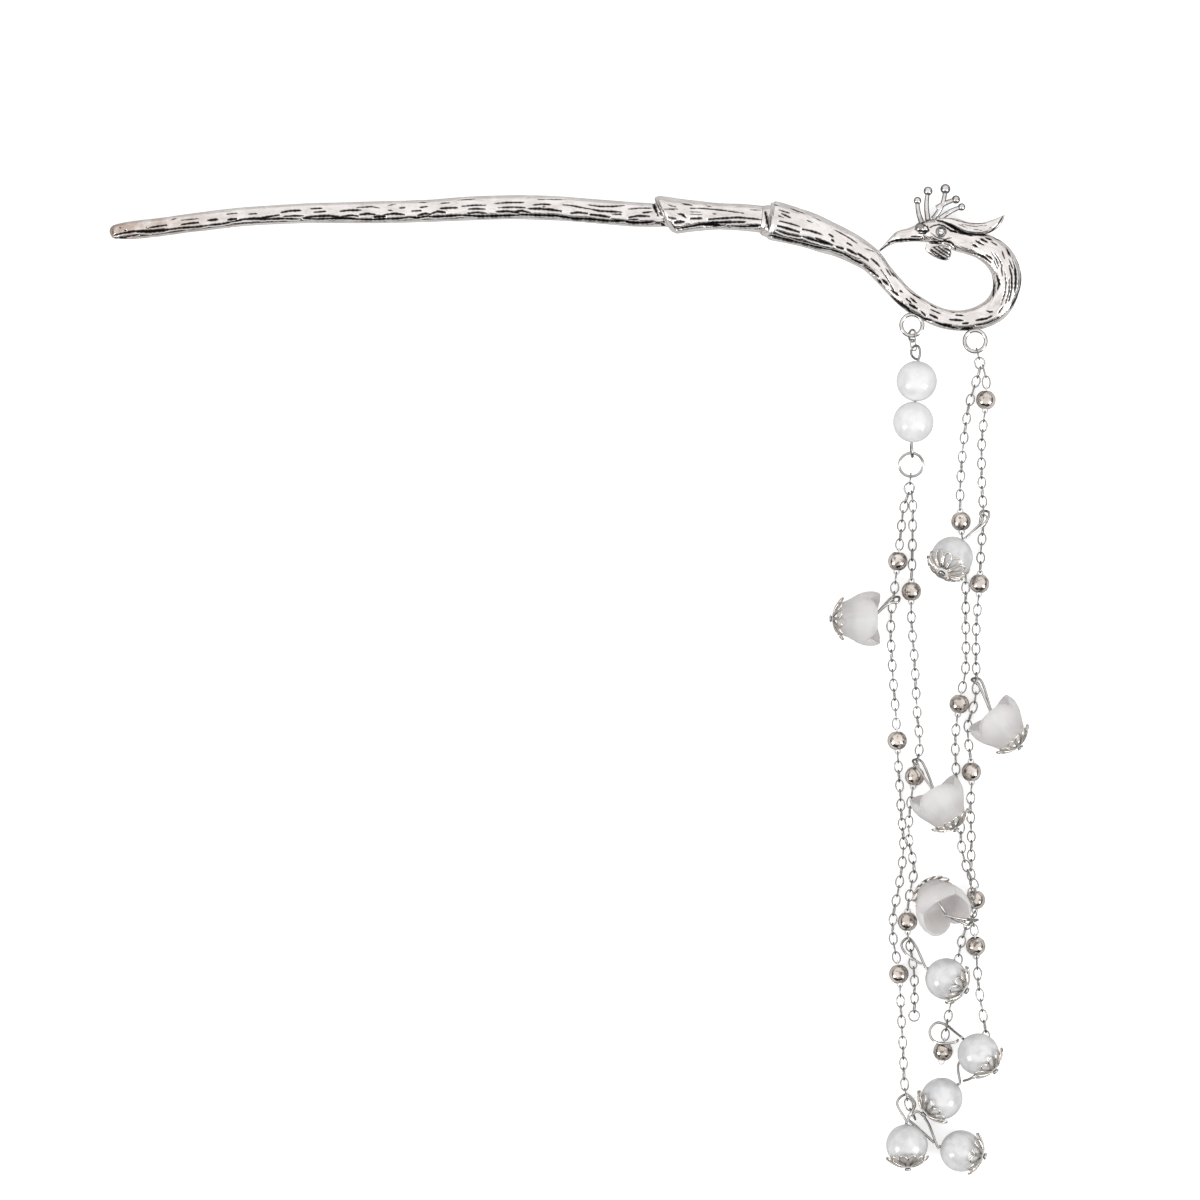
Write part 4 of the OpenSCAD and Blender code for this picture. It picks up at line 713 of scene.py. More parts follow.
crestPaths = []
for fx, fy, tx, ty, bend, ball in crest["wires"]:
    foot, tip = (high(onHead(*crest["crown"]) + crest["height"] * vec(*at), headTop / 2) + laid
                 for at in ((fx, fy), (tx, ty)))
    side = crest["height"] * bend * unit(np.cross([0, 0, 1], tip - foot))
    t = np.linspace(0, 1, 24)[:, None]
    stem = foot + (tip - foot) * t + side * np.sin(np.pi * t)
    thick = crest["foot"] + (crest["top"] - crest["foot"]) * t[:, 0]
    crestPaths.append((stem, crest["wire"] / 2 * thick, False))
    crestPaths.append(ballPath(tip, unit(tip - foot), ball / 2 * crest["ballShare"], 14))
wirePiece("crest", crestPaths, "trim", "casting", 20)
xAxis, yAxis = np.eye(3)[:2]
solderPaths = []
for k in (0, 1):
    mid = high(solderAt(k), solderHigh(k)) + laid
    ring = circlePath(mid, xAxis, yAxis, (soldered["diameter"] - soldered["wire"]) / 2, 64)
    solderPaths.append((ring, soldered["wire"] / 2, True))
wirePiece("soldered_rings", solderPaths, "trim", "casting", 20)
print("crest, plume, wattle and soldered rings done")

bezel = {"eye": (0.375, 0.49), "stone": 1.4, "wall": 0.2, "gap": 0.1, "rim": 0.25,
         "turns": ((0.0, 0.5), (0.16, 0.6), (0.34, 0.8))}
rim = bezel["stone"] / 2 + bezel["gap"] + bezel["wall"] / 2
bezelPaths = []
for drop, thick in bezel["turns"]:
    mid = high(onHead(*bezel["eye"]), headTop + bezel["rim"] - bezel["wall"] / 2 - drop) + laid
    bezelPaths.append((circlePath(mid, xAxis, yAxis, rim, 48), bezel["wall"] * thick, True))
wirePiece("eye_bezel", bezelPaths, "antique", "casting", 12)
knob = {"place": (0.585, 0.66), "diameter": 2.0, "rise": 0.58}
knobMid = high(onHead(*knob["place"]), headTop * knob["rise"]) + laid
wirePiece("beak_knob", [ballPath(knobMid, xAxis, knob["diameter"] / 2, 20)], "antique", "casting", 24)

# Chains
link = {"pitch": 1.78, "width": 1.68, "wire": 0.26, "play": 0.15, "sway": 12, "wide": 0.45, "forkSide": 0.5,
        "forkBack": 0.29, "swayStep": 37, "hookLift": 0.05}
bead = {"diameter": 3.6, "reach": 0.42, "eye": 1.25, "eyeWire": 0.26, "rodShare": 0.8}
upper = {"looseDiameter": 2.6, "looseWire": 0.4, "splitWire": 0.5, "splitDown": 23.35, "splitHigh": 2.4}
solderLow = (soldered["diameter"] - soldered["wire"]) / 2
wireShift = (link["wire"] + link["play"]) / 2
hookDown = solderLow - (soldered["wire"] + link["wire"]) / 2 - link["play"] + wireShift
hookHigh = solderHigh(1) + link["hookLift"]
# right of the soldered ring, down from it, height, bead or not
chainRoutes = [
    [[-0.2, 27.3, 1.5, 0], [-0.5, 30.5, 1.0, 0], [-1.5, 33.3, 0.95, 0], [-1.9, 36.9, 0.95, 0],
     [-2.6, 43.2, 1.85, 1], [-3.4, 50.4, 0.95, 0], [-3.8, 53.5, 0.95, 0], [-3.8, 57.7, 0.95, 0],
     [-3.5, 63.5, 0.95, 0], [-3.0, 70.0, 0.95, 0], [-2.7, 76.0, 1.85, 1], [-2.4, 82.0, 0.95, 0],
     [-2.1, 86.0, 0.95, 0], [-1.9, 90.0, 0.95, 0], [-1.5, 94.5, 0.95, 0], [-1.8, 99.0, 0.95, 0],
     [-2.6, 104.0, 0.95, 0], [-3.4, 108.0, 0.95, 0], [-3.4, 112.5, 0.95, 0],
     [-2.4, 118.7, 1.85, 1], [-2.0, 125.0, 0.95, 0], [-1.6, 132.2, 0.95, 0],
     [-1.4, 138.2, 0.95, 0], [-1.0, 141.0, 0.95, 0], [-0.3, 143.4, 0.95, 0],
     [0.6, 145.2, 0.95, 0]],
    [[0.2, 32.8, 1.75, 0], [0.15, 36.8, 1.0, 0], [0.1, 42.0, 0.95, 0],
     [-0.1, 48.7, 1.85, 1], [0.0, 55.0, 0.95, 0], [0.5, 61.3, 0.95, 0], [1.0, 71.3, 0.95, 0],
     [1.5, 76.6, 1.1, 0], [0.5, 82.5, 1.85, 1], [-0.4, 88.5, 2.3, 0], [-0.6, 91.0, 2.8, 0],
     [-0.6, 94.0, 2.6, 0], [0.0, 97.0, 1.4, 0], [0.5, 99.6, 0.95, 0], [-0.2, 103.0, 0.95, 0],
     [-0.8, 109.1, 1.85, 1], [-0.1, 115.0, 0.95, 0], [0.4, 118.1, 0.95, 0], [0.5, 121.0, 0.95, 0],
     [0.5, 125.6, 0.95, 0]],
    [[0.3, hookDown, hookHigh, 0], [0.8, 3.4, 1.25, 0], [0.95, 5.2, 1.0, 0], [0.0, 7.9, 0.95, 0],
     [-1.1, 11.7, 0.95, 0], [-1.7, 15.4, 0.95, 0],
     [-2.3, 20.7, 0.95, 0], [-2.7, 27.0, 0.95, 0], [-2.6, 33.0, 1.85, 1],
     [-1.8, 40.3, 0.95, 0], [-1.7, 46.2, 0.95, 0], [-1.7, 51.6, 0.95, 0], [-1.7, 60.0, 0.95, 0],
     [-2.9, 66.4, 1.85, 1], [-3.6, 72.5, 0.95, 0], [-3.5, 77.9, 0.95, 0], [-3.1, 83.3, 0.95, 0],
     [-2.6, 89.0, 0.95, 0], [-2.5, 92.5, 0.95, 0], [-1.3, 97.0, 0.95, 0], [0.05, 102.2, 1.85, 1],
     [-2.0, 108.2, 0.95, 0], [-3.0, 112.6, 0.95, 0], [-3.3, 116.3, 0.95, 0],
     [-4.3, 120.8, 0.95, 0], [-5.0, 124.1, 0.95, 0], [-5.9, 129.9, 1.85, 1]],
    [[2.05, 7.0, 1.5, 0], [1.95, 10.8, 1.85, 1], [1.3, 17.5, 0.95, 0], [1.2, 22.0, 0.95, 0],
     [1.3, 27.5, 0.95, 0], [1.6, 31.5, 0.95, 0], [1.5, 34.1, 0.95, 0], [1.1, 38.5, 0.95, 0],
     [0.8, 44.4, 1.85, 1], [0.3, 51.0, 0.95, 0], [0.2, 54.9, 0.95, 0], [0.2, 59.5, 0.95, 0],
     [0.3, 62.3, 0.95, 0], [-0.1, 66.4, 0.95, 0], [-1.2, 69.5, 0.95, 0], [-1.3, 72.5, 0.95, 0],
     [-0.7, 78.8, 1.85, 1], [-0.8, 85.0, 0.95, 0], [-0.7, 89.0, 0.95, 0], [-0.7, 92.5, 2.0, 0],
     [-0.8, 96.0, 2.9, 0], [-0.8, 99.0, 3.7, 0], [-0.7, 102.4, 4.6, 0], [-0.4, 105.8, 3.4, 0],
     [0.1, 110.7, 1.85, 1], [0.6, 117.0, 0.95, 0], [0.9, 119.7, 0.95, 0], [1.8, 125.3, 0.95, 0],
     [2.1, 127.4, 0.95, 0], [1.6, 130.2, 0.95, 0]]]
chainNames = ["left_a", "left_b", "right_a", "right_b"]
eyeReach = bead["diameter"] / 2 + bead["reach"]


def hung(k, right, down, z):              # a place from the soldered ring of chain k
    return high(solderAt(k // 2) + vec(right, -down), z) + laid


def chainPoint(k, r):
    return hung(k, *r[:3])


def beadMarks(k):
    return [i for i, r in enumerate(chainRoutes[k]) if r[3]]


def beadAt(k, i):
    return chainPoint(k, chainRoutes[k][beadMarks(k)[i]])


def beadDir(k, i):
    m, rows = beadMarks(k)[i], chainRoutes[k]
    return unit(chainPoint(k, rows[min(m + 1, len(rows) - 1)]) - chainPoint(k, rows[m - 1]))


def runJoints(k, i):                      # joints between links, from one bead to the next
    m, rows = beadMarks(k), chainRoutes[k]
    second, first, last = k % 2 == 1 and i == 0, k % 2 == 0 and i == 0, i == len(m)
    a = -1 if second else 0 if first else m[i - 1]
    b = len(rows) - 1 if last else m[i]
    if second:
        q = runJoints(k - 1, 0)
        d = unit(q[2] - q[1])
        head = q[2] + link["forkSide"] * unit(np.cross([0, 0, 1], d)) - link["forkBack"] * d
    else:
        head = chainPoint(k, rows[0]) if first else beadAt(k, i - 1) + eyeReach * beadDir(k, i - 1)
    tail = chainPoint(k, rows[-1]) if last else beadAt(k, i) - eyeReach * beadDir(k, i)
    p = smooth([head] + [chainPoint(k, rows[j]) for j in range(a + 1, b)] + [tail], 4)
    run = lengthAt(p)
    count = run[-1] / link["pitch"]
    count = 2 * round((count - 1) / 2) + 1 if last else max(1, round(count))
    return takenAt(p, run, np.linspace(0, run[-1], count + 1))


def aimed(direction, roll):               # axes of a piece that lies along a direction
    d = unit(direction)
    side = unit(np.cross([0, 0, 1], d)) if abs(d[2]) < 0.999 else vec(0, 1, 0)
    up = np.cross(d, side)
    c, s = math.cos(math.radians(roll)), math.sin(math.radians(roll))
    return d, c * side + s * up, c * up - s * side


ovalLinks = formTree("oval links", [
    ("Places", "Geometry", None), ("Bend Radius", "Float", 0.71 * mm), ("Longer By", "Float", 0.2 * mm),
    ("Wire", "Float", 0.26 * mm)], "Links", {
    "oval": ("GeometryNodeCurvePrimitiveCircle", {}, {"Resolution": 18}),
    "place": ("GeometryNodeInputPosition", {}, {}),
    "split": ("ShaderNodeSeparateXYZ", {}, {}),
    "share": ("ShaderNodeMath", {"operation": "DIVIDE"}, {}),
    "reach": ("ShaderNodeMath", {"operation": "MULTIPLY"}, {}),
    "shift": ("ShaderNodeCombineXYZ", {}, {}),
    "move": ("GeometryNodeSetPosition", {}, {}),
    "half": ("ShaderNodeMath", {"operation": "MULTIPLY"}, {1: 0.5}),
    "profile": ("GeometryNodeCurvePrimitiveCircle", {}, {"Resolution": 8}),
    "wire": ("GeometryNodeCurveToMesh", {}, {}),
    "put": ("GeometryNodeInstanceOnPoints", {}, {}),
    "turn": ("GeometryNodeInputNamedAttribute", {"data_type": "QUATERNION"}, {"Name": "linkTurn"}),
    "size": ("GeometryNodeInputNamedAttribute", {"data_type": "FLOAT_VECTOR"}, {"Name": "linkSize"})}, [
    ("given", "Bend Radius", "oval", "Radius"), ("place", 0, "split", 0), ("split", "X", "share", 0),
    ("given", "Bend Radius", "share", 1), ("share", 0, "reach", 0), ("given", "Longer By", "reach", 1),
    ("reach", 0, "shift", "X"), ("oval", "Curve", "move", "Geometry"), ("shift", 0, "move", "Offset"),
    ("given", "Wire", "half", 0), ("half", 0, "profile", "Radius"), ("move", 0, "wire", "Curve"),
    ("profile", "Curve", "wire", "Profile Curve"), ("given", "Places", "put", "Points"),
    ("wire", 0, "put", "Instance"), ("turn", "Attribute", "put", "Rotation"),
    ("size", "Attribute", "put", "Scale"), ("put", 0, "real", 0)])


def linkForm(name, places):               # places: middle, axes, length, width
    reach = link["pitch"] + 2 * link["wire"] + link["play"]
    turns = [Matrix(np.array(axes).T.tolist()).to_quaternion() for mid, axes, length, width in places]
    sizes = [(length / reach, width / link["width"], 1.0) for mid, axes, length, width in places]
    data = bare(name, [mid for mid, axes, length, width in places], [], [],
                linkTurn=("QUATERNION", turns), linkSize=("FLOAT_VECTOR", sizes))
    return solid(placed(name, data), ovalLinks, {
        "Bend Radius": (link["width"] - link["wire"]) / 2 * mm, "Longer By": (reach - link["width"]) / 2 * mm,
        "Wire": link["wire"] * mm, "Finish": looks["chain"]})


def joined(name, parts):                  # several meshes as one piece
    work = bmesh.new()
    for part in parts:
        work.from_mesh(part.data)
    data = bpy.data.meshes.new(name)
    for material in parts[0].data.materials:
        data.materials.append(material)
    work.to_mesh(data)
    work.free()
    for part in parts:
        bpy.data.objects.remove(part)
    return placed(name, smoothed(data))


chainJoints = []
for k, name in enumerate(chainNames):
    runs = len(beadMarks(k)) + (0 if beadMarks(k)[-1] == len(chainRoutes[k]) - 1 else 1)
    joints = [runJoints(k, i) for i in range(runs)]
    chainJoints.append(joints)
    places, paths = [], []
    for i, q in enumerate(joints):
        for j in range(len(q) - 1):
            d = q[j + 1] - q[j]
            roll = 90 * ((j + 1) % 2) + link["sway"] * math.sin(math.radians(link["swayStep"] * j))
            wide = link["wide"] if k % 2 == 0 and i == 0 and j == 1 else 0.0
            places.append(((q[j] + q[j + 1]) / 2, aimed(d, roll),
                           np.linalg.norm(d) + 2 * link["wire"] + link["play"], link["width"] + wide))
    r = (bead["eye"] - bead["eyeWire"]) / 2
    out = eyeReach + wireShift - r        # from the bead's middle to an eye's
    rod = out - (bead["eye"] - bead["eyeWire"]) / 2
    for i in range(len(beadMarks(k))):
        mid, (d, side, up) = beadAt(k, i), aimed(beadDir(k, i), 0)
        far = up if len(joints[i]) % 2 else side
        paths.append((circlePath(mid + out * d, d, side, r, 20), bead["eyeWire"] / 2, True))
        paths.append((circlePath(mid - out * d, d, far, r, 20), bead["eyeWire"] / 2, True))
        along = [mid + t * rod * d for t in (-1, -0.5, 0, 0.5, 1)]
        paths.append((along, bead["eyeWire"] / 2 * bead["rodShare"], False))
    parts = [linkForm("links", places), wireForm("eyes", paths, "chain", 8)]
    keep(joined("chain_" + name + "_links", parts), "chain", "chain_" + name)
    for i in range(len(beadMarks(k))):
        dress("bead_%s_%d" % (name, i + 1), "bead")
print("chains done:", [sum(len(q) - 1 for q in j) for j in chainJoints], "links")

for node in ("ring_top", "link_top", "ring_split", "ring_end"):
    dress(node, "chain")

# Upper pearls and their wire; an eye of the wire: width, roll
pearl = {"upper": 7.4, "drop": 7.6, "bore": 0.9, "top": [[0.8, -10.3], [0.18, -17.8]], "lead": 0.3,
         "upperEye": (2.4, -32), "upperFar": (0.3, 0.36), "lowerEye": (2.1, 85), "lowerFar": (0.0, -0.2)}
pin = {"wire": 0.45, "head": 1.3, "slack": 0.3, "restGap": 0.05, "seatGap": 0.12, "pearlOut": 0.6,
       "bellOut": 0.8, "bellIn": -0.6, "steep": 30, "headRows": [       # how far behind, share of the head
           [0.45, 0.3], [0.42, 0.42], [0.32, 0.5], [0.18, 0.5], [0.06, 0.36]]}
topHigh = solderHigh(0)
looseLow = solderLow + (upper["looseDiameter"] - upper["looseWire"]) / 2
linkHigh = looseLow - (upper["looseWire"] + link["wire"]) / 2 - link["play"]
linkLow = linkHigh + link["pitch"] + link["wire"] + link["play"]
eyeHigh = linkLow - (link["wire"] + pin["wire"]) / 2 - link["play"] - pin["slack"]
splitLow = upper["splitDown"] + (upper["splitWire"] + pin["wire"]) / 2 + link["play"]
upperDir = unit(high(vec(*pearl["top"][1]) - vec(*pearl["top"][0]), 0))


def upperAt(i):
    middle = high(solderAt(0) + (vec(*pearl["top"][0]) + vec(*pearl["top"][1])) / 2,
                  pearl["upper"] / 2 + pin["restGap"]) + laid
    return middle + (i - 0.5) * (pearl["upper"] + pin["seatGap"]) * upperDir


def eyePath(foot, far, wide, roll, steps=36, gap=0.06):
    d = far - foot
    u = unit(d)
    v = unit(np.cross([0, 0, 1], u))
    side = math.cos(math.radians(roll)) * v + math.sin(math.radians(roll)) * np.cross(u, v)
    out = []
    for t in range(steps + 1):
        a = 2 * math.pi * t / steps * (1 - gap) + math.pi * gap
        out.append(foot + d * (1 - math.cos(a)) / 2 + side * wide / 2 * math.sin(a) * math.sin(a / 2) ** 0.6)
    return out


a = upperAt(0) - (pearl["upper"] / 2 + pearl["lead"]) * upperDir
b = upperAt(1) + (pearl["upper"] / 2 + pearl["lead"]) * upperDir
farA = hung(0, pearl["upperFar"][0], eyeHigh, topHigh + pearl["upperFar"][1])
farB = hung(0, pearl["lowerFar"][0], splitLow, upper["splitHigh"] + pearl["lowerFar"][1])
wirePath = (eyePath(a, farA, *pearl["upperEye"])[::-1]
            + [a + t * (b - a) for t in (0.02, 0.25, 0.5, 0.75, 0.98)] + eyePath(b, farB, *pearl["lowerEye"]))
wirePiece("pearl_upper_wire", [(wirePath, pin["wire"] / 2, False)], "chain", "pearl_wire", 12)

# Drops: name, bell or not, chain, depth of its link, middle, heading, rise, spin, loop points
drops = [
    ["bell_one", 1, 0, 50.3, [-10.3, 53.7, 4.6], 0, 5, 90,
     [[-1.0, -0.6, 0.4], [0, 0, 0], [1.0, 0, 0.6], [0.7, -0.9, 1.8], [-1.0, -1.2, 2.0]]],
    ["bell_two", 1, 3, 61.7, [5.0, 70.9, 5.0], 132, 0, 90,
     [[0.5, -1.6, 2.4], [-0.9, -0.3, 0.7], [0, 0, 0], [1.1, -0.9, 0.7]]],
    ["bell_three", 1, 1, 79.0, [5.6, 88.2, 6.0], 120, 0, 90,
     [[0.3, -2.0, 2.9], [-0.9, -0.3, 1.2], [0, 0, 0], [1.1, -0.9, 0.8]]],
    ["bell_four", 1, 3, 105.3, [-7.0, 102.3, 5.4], -59, 45, 90,
     [[-1.3, 0.4, 3.7], [0.7, 0.3, 0.9], [0, 0, 0], [-0.7, -0.3, 1.0], [-1.3, -0.5, 3.5]]],
    ["pearl_one", 0, 3, 31.5, [-4.4, 39.6, 5.7], 56, -35, 0,
     [[-0.4, -2.0, 1.3], [-0.6, -0.5, 0.35], [0, 0, 0], [1.0, -0.4, 0.9], [0.2, -2.2, 1.8]]],
    ["pearl_two", 0, 1, 112.6, [6.1, 119.4, 5.5], 150, -14, 0,
     [[1.3, -1.5, 1.4], [0, 0, 0], [-1.3, -1.2, 0.9], [-0.3, -3.0, 1.9]]],
    ["pearl_three", 0, 2, 124.6, [0.4, 130.2, 5.8], 135, -8, 0,
     [[1.4, -1.1, 1.7], [0, 0, 0], [-1.8, 0.5, 0.3], [-3.1, -0.8, 0.7], [-2.7, -2.5, 1.4],
      [-1.0, -3.2, 2.3], [1.4, -2.9, 3.1]]],
    ["pearl_four", 0, 3, 130.0, [-6.2, 138.4, 3.9], 41, -8, 0,
     [[-4.8, -2.9, 0.7], [-2.0, -0.5, 0.1], [0, 0, 0], [1.1, -0.7, 0.1], [0.8, -2.3, 0.1],
      [-2.1, -5.3, 0.7]]],
    ["pearl_five", 0, 0, 139.0, [-1.0, 149.8, 3.9], 92, -8, 0,
     [[-1.7, -1.5, 1.2], [0, 0, 0], [1.6, -1.7, 1.3]]],
    ["pearl_six", 0, 0, 145.0, [8.9, 150.9, 3.9], 168, -8, 0,
     [[2.8, -1.6, 0.7], [1.1, 0.4, 0.1], [0, 0, 0], [-0.8, -0.9, 0.1], [0.5, -2.1, 0.3]]]]
bell = {"length": 6.8, "width": 9.6, "wall": 0.9, "rim": 0.45, "tip": 0.9, "hub": 1.6, "petals": 3,
        "veins": 27, "swell": 0.09, "ribHigh": 0.07, "around": 132, "profile": [
    [0.00, 0.40], [0.04, 0.56], [0.16, 0.64], [0.34, 0.76], [0.54, 0.92], [0.72, 1.00],
    [0.88, 1.00], [1.00, 0.93]]}
cap = {"diameter": 8.2, "depth": 2.0, "wall": 0.35, "petals": 12, "strip": 0.32, "hub": 0.14,
       "petalShare": 0.86, "apart": 0.06, "grip": 0.1, "inner": (0.75, 0.72)}
dishRadius = (cap["diameter"] ** 2 / 4 + cap["depth"] ** 2) / (2 * cap["depth"])


def dishRise(r, inset=cap["wall"]):
    return dishRadius - inset - math.sqrt((dishRadius - inset) ** 2 - r * r)


def wallRise(r):                          # the middle of the cap's wall
    return dishRise(r, cap["wall"] / 2) + cap["wall"] / 2


bellLift = max(dishRise(r * bell["width"] / 2) - x * bell["length"] for x, r in bell["profile"])


def backReach(isBell):
    return bell["length"] / 2 + bellLift if isBell else pearl["drop"] / 2


def bellMesh(name, mid, axes):
    r, full, last, wall = bell["width"] / 2, bell["profile"], len(bell["profile"]) - 1, bell["wall"]
    outer = smooth([[x * bell["length"], g * r, x] for x, g in full], 8)
    inner = [[full[last][0] * bell["length"] - 0.05, full[last][1] * r - wall * bell["rim"], full[last][0]]]
    for i in range(last - 1, 2, -1):
        t = (i - 3) / (last - 3)
        x = (bell["hub"] + 0.4) * (1 - t) + full[i][0] * bell["length"] * t
        inner.append([x, full[i][1] * r - wall, full[i][0]])
    inner = smooth(inner + [[bell["hub"], full[2][1] * r * 0.55, 0.2]], 6)
    loop = np.vstack([[[0, pearl["bore"] / 2, 0]], outer, inner, [[bell["hub"], pearl["bore"] / 2, 0]]])
    x, radius, share = loop.T[:, :, None]
    f = np.linspace(0, 2 * np.pi, bell["around"], endpoint=False)[None, :]
    petal, vein = np.abs(np.cos(bell["petals"] / 2 * f)), np.abs(np.cos(bell["veins"] / 2 * f))
    lobe = share ** 3 * (petal ** 0.7 * 2 - 1)
    rib = petal ** 60 + 0.6 * vein ** 26 * (petal < 0.995)
    rib = rib * ease(0.1, 0.45, share) * (1 - ease(0.9, 1.0, share))
    out = np.where(np.arange(len(loop))[:, None] <= len(outer), 1, -1)
    radius = radius * (1 + bell["swell"] * lobe) + bell["ribHigh"] * rib * out
    x = x + bell["tip"] * lobe - bell["length"] / 2
    d, side, up = axes
    points = (mid + x[..., None] * d + (radius * np.cos(f))[..., None] * side
              + (radius * np.sin(f))[..., None] * up)
    m, n = len(loop), bell["around"]
    faces = [(i * n + k, i * n + (k + 1) % n, (i + 1) % m * n + (k + 1) % n, (i + 1) % m * n + k)
             for i in range(m) for k in range(n)]
    return meshPiece(name, points.reshape(-1, 3), faces, vein=np.broadcast_to(rib, x.shape))


# one petal's wire, set round the hub
filigreePetals = formTree("filigree petals", [("Petal", "Geometry", None), ("Petals", "Int", 12),
                                              ("Strip", "Float", 0.3 * mm)], "Cap", {
    "curve": ("GeometryNodeMeshToCurve", {}, {}),
    "half": ("ShaderNodeMath", {"operation": "MULTIPLY"}, {1: 0.5}),
    "profile": ("GeometryNodeCurvePrimitiveCircle", {}, {"Resolution": 10}),
    "wire": ("GeometryNodeCurveToMesh", {}, {}),
    "spots": ("GeometryNodePoints", {}, {}),
    "index": ("GeometryNodeInputIndex", {}, {}),
    "step": ("ShaderNodeMath", {"operation": "DIVIDE"}, {0: 2 * math.pi}),
    "angle": ("ShaderNodeMath", {"operation": "MULTIPLY"}, {}),
    "turn": ("ShaderNodeCombineXYZ", {}, {}),
    "put": ("GeometryNodeInstanceOnPoints", {}, {})}, [
    ("given", "Petal", "curve", "Mesh"), ("curve", "Curve", "wire", "Curve"), ("given", "Strip", "half", 0),
    ("half", 0, "profile", "Radius"), ("profile", "Curve", "wire", "Profile Curve"),
    ("given", "Petals", "spots", "Count"), ("given", "Petals", "step", 1), ("index", 0, "angle", 0),
    ("step", 0, "angle", 1), ("angle", 0, "turn", "Z"), ("spots", 0, "put", "Points"),
    ("wire", 0, "put", "Instance"), ("turn", 0, "put", "Rotation"), ("put", 0, "real", 0)])
petalRadius = math.pi * cap["diameter"] / 2 / cap["petals"] * cap["petalShare"]
petalMiddle = cap["diameter"] / 2 - petalRadius
hubRadius = cap["diameter"] * cap["hub"] - cap["grip"]


def capMesh(name, mid, axes, isBell):
    reach = backReach(isBell) + pin["seatGap"] + cap["wall"]
    ring = petalRadius - cap["strip"] / 2 - cap["apart"]
    bend = np.radians(np.linspace(-100, 100, 19))
    arc = zip(petalMiddle + ring * np.cos(bend), ring * np.sin(bend))
    outline = [(hubRadius, -cap["grip"]), *arc, (hubRadius, cap["grip"])]
    c, s = math.cos(math.pi / cap["petals"]), math.sin(math.pi / cap["petals"])
    path = [(x * c - y * s, x * s + y * c, wallRise(math.hypot(x, y)))
            for x, y in evenly(smooth(outline, 3), 0.22, vec(1, 1))]
    data = bare(name, path, [(i, i + 1) for i in range(len(path) - 1)], [])
    petals = solid(placed(name, data), filigreePetals,
                   {"Petals": cap["petals"], "Strip": cap["strip"] * mm, "Finish": looks["filigree"]})
    d, side, up = axes
    here = Matrix(np.column_stack([-up, side, d]).tolist()).to_4x4()   # dish plane to the drop's axes
    here.translation = Vector(((mid - reach * d) * mm).tolist())
    petals.data.transform(here)
    rings = [(circlePath(mid - (reach - wallRise(at)) * d, side, up, radius, count), cap["wall"] / 2, True)
             for at, radius, count in ((hubRadius, hubRadius, 28), (*cap["inner"], 24))]
    return joined(name, [petals, wireForm("hub", rings, "filigree")])


def heldAt(k, depth):
    want = hung(k, 0, depth, 0)[1]
    spots = [(q[j] + q[j + 1]) / 2 for q in chainJoints[k] for j in range(0, len(q) - 1, 2)]
    return min(spots, key=lambda p: abs(p[1] - want))


for name, isBell, k, depth, place, heading, rise, spin, loop in drops:
    mid = hung(k, *place)
    d = high(math.cos(math.radians(rise)) * turn(heading), math.sin(math.radians(rise)))
    axes = aimed(d, spin)
    if isBell:
        keep(bellMesh(name + "_flower", mid, axes), "bell", name)
    keep(capMesh(name + "_filigree", mid, axes, isBell), "filigree", name + "_cap")
    back = backReach(isBell) + pin["seatGap"] + cap["wall"]
    if isBell:
        front = bell["length"] / 2 + (pin["bellOut"] if rise > pin["steep"] else pin["bellIn"])
    else:
        front = pearl["drop"] / 2 + pin["pearlOut"]
    q, start = mid + front * d, mid - back * d
    way = [heldAt(k, depth) + vec(*r) for r in loop]
    near = q + unit(way[-1] - q) * (pin["wire"] * 2)
    lead = [start - away * d for away, share in pin["headRows"]] + [start + d]
    curve = smooth([q - 0.4 * d, q + 0.1 * d] + way + [near], 12)
    radii = [pin["head"] * share for away, share in pin["headRows"]] + [pin["wire"] / 2] * (len(curve) + 1)
    wirePiece(name + "_wire", [(lead + list(curve), radii, False)], "pin", name + "_pin", 14)
    if not isBell:
        dress(name, "pearl")
for node, look in (("pearl_upper_1", "lighterPearl"), ("pearl_upper_2", "lighterPearl"), ("eye_stone", "stone")):
    dress(node, look)
print("drops done")

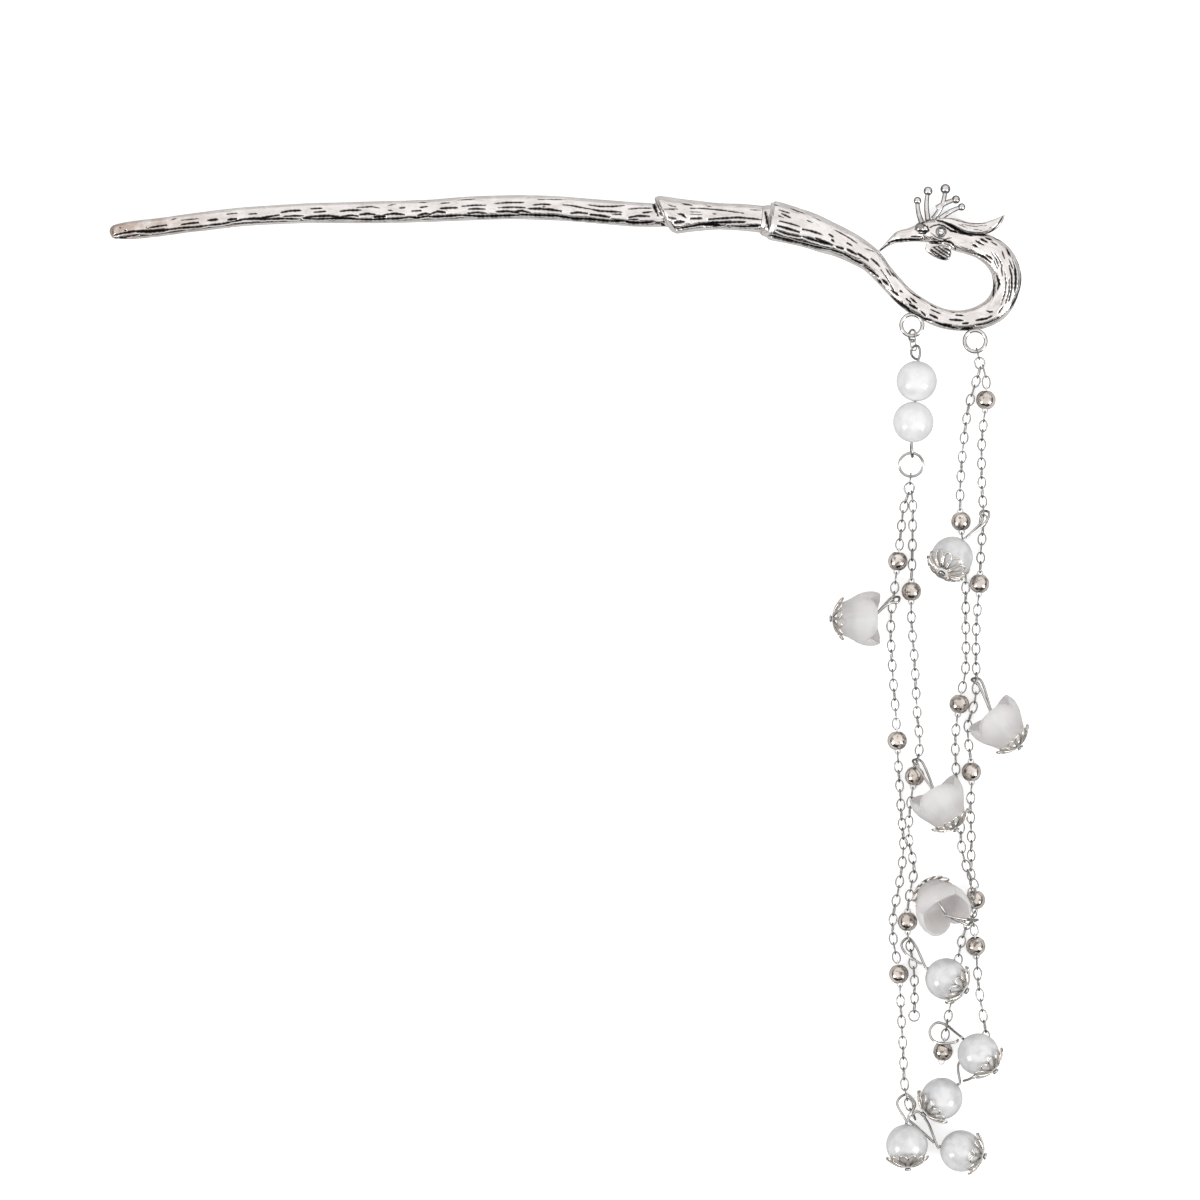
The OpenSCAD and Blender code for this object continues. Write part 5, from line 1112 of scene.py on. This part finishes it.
# Table, light and camera
studio = {"tableDrop": 0.03, "table": (0.90, 0.90, 0.90), "tableGlow": 0.5, "mirrored": (0.60, 0.60, 0.595),
          "skyLean": (0.0, 0.34, 0.94), "height": 1500.0, "middle": (5.77, 14.46), "span": 219.7,
          "sky": [(0.24, (0.02, 0.02, 0.021)), (0.35, (0.5, 0.5, 0.5)), (0.43, (0.95, 0.95, 0.95)),
                  (0.75, (1.06, 1.06, 1.06)), (1.0, (0.98, 0.97, 0.97))]}
softbox = {"place": (0.75, -0.43, 0.5), "size": (0.34, 0.46), "power": 3.4}   # metres
bpy.ops.mesh.primitive_plane_add(size=6, location=(0, 0, -studio["tableDrop"] * mm))
floor = bpy.context.object
floor.name = "table_top"
paper = Finish("table paper", {"Base Color": (*studio["table"], 1), "Specular IOR Level": 0.2,
                               "Emission Color": (1, 1, 1, 1), "Emission Strength": studio["tableGlow"]})
paper.feed("Roughness", paper.patches(2, 2, 0.75, 0.85))
shade = paper.node("ShaderNodeBsdfDiffuse", {}, {"Color": studio["mirrored"]})   # as metal mirrors it
seen = paper.node("ShaderNodeLightPath", {}, {}, "Is Camera Ray")
paper.put(paper.tree.nodes["Material Output"].inputs["Surface"],
          paper.node("ShaderNodeMixShader", {}, {0: seen, 1: shade, 2: Wire(paper, paper.shader.outputs[0])}))
floor.data.materials.append(paper.material)

world = bpy.data.worlds.new("studio")     # bright overhead and behind, dark low in front
bpy.context.scene.world = world
world.use_nodes = True
sky = Shading(world.node_tree)
lean = sky.node("ShaderNodeVectorMath", {"operation": "DOT_PRODUCT"},
                {0: sky.node("ShaderNodeTexCoord", {}, {}, "Generated"), 1: studio["skyLean"]}, "Value")
sky.put(sky.tree.nodes["Background"].inputs["Color"],
        sky.node("ShaderNodeValToRGB", {"stops": studio["sky"]}, {"Fac": lean}, "Color"))

for name, side in (("left light", -1), ("right light", 1)):
    lamp = bpy.data.lights.new(name, "AREA")
    lamp.shape, lamp.energy = "RECTANGLE", softbox["power"]
    lamp.size, lamp.size_y = softbox["size"]
    place = Vector(softbox["place"]) * Vector((side, 1, 1))
    box = placed(name, lamp)
    box.location, box.rotation_euler = place, (-place).to_track_quat("-Z", "Y").to_euler()

lens = bpy.data.cameras.new("camera")
lens.sensor_width = 36
lens.lens = 36 * studio["height"] / studio["span"]
lens.clip_start, lens.clip_end = 0.05, 20
camera = placed("camera", lens)
camera.location = vec(*studio["middle"], studio["height"]) * mm
bpy.context.scene.camera = camera
bpy.context.scene.view_settings.view_transform = "Standard"
print("table, lights and camera set")
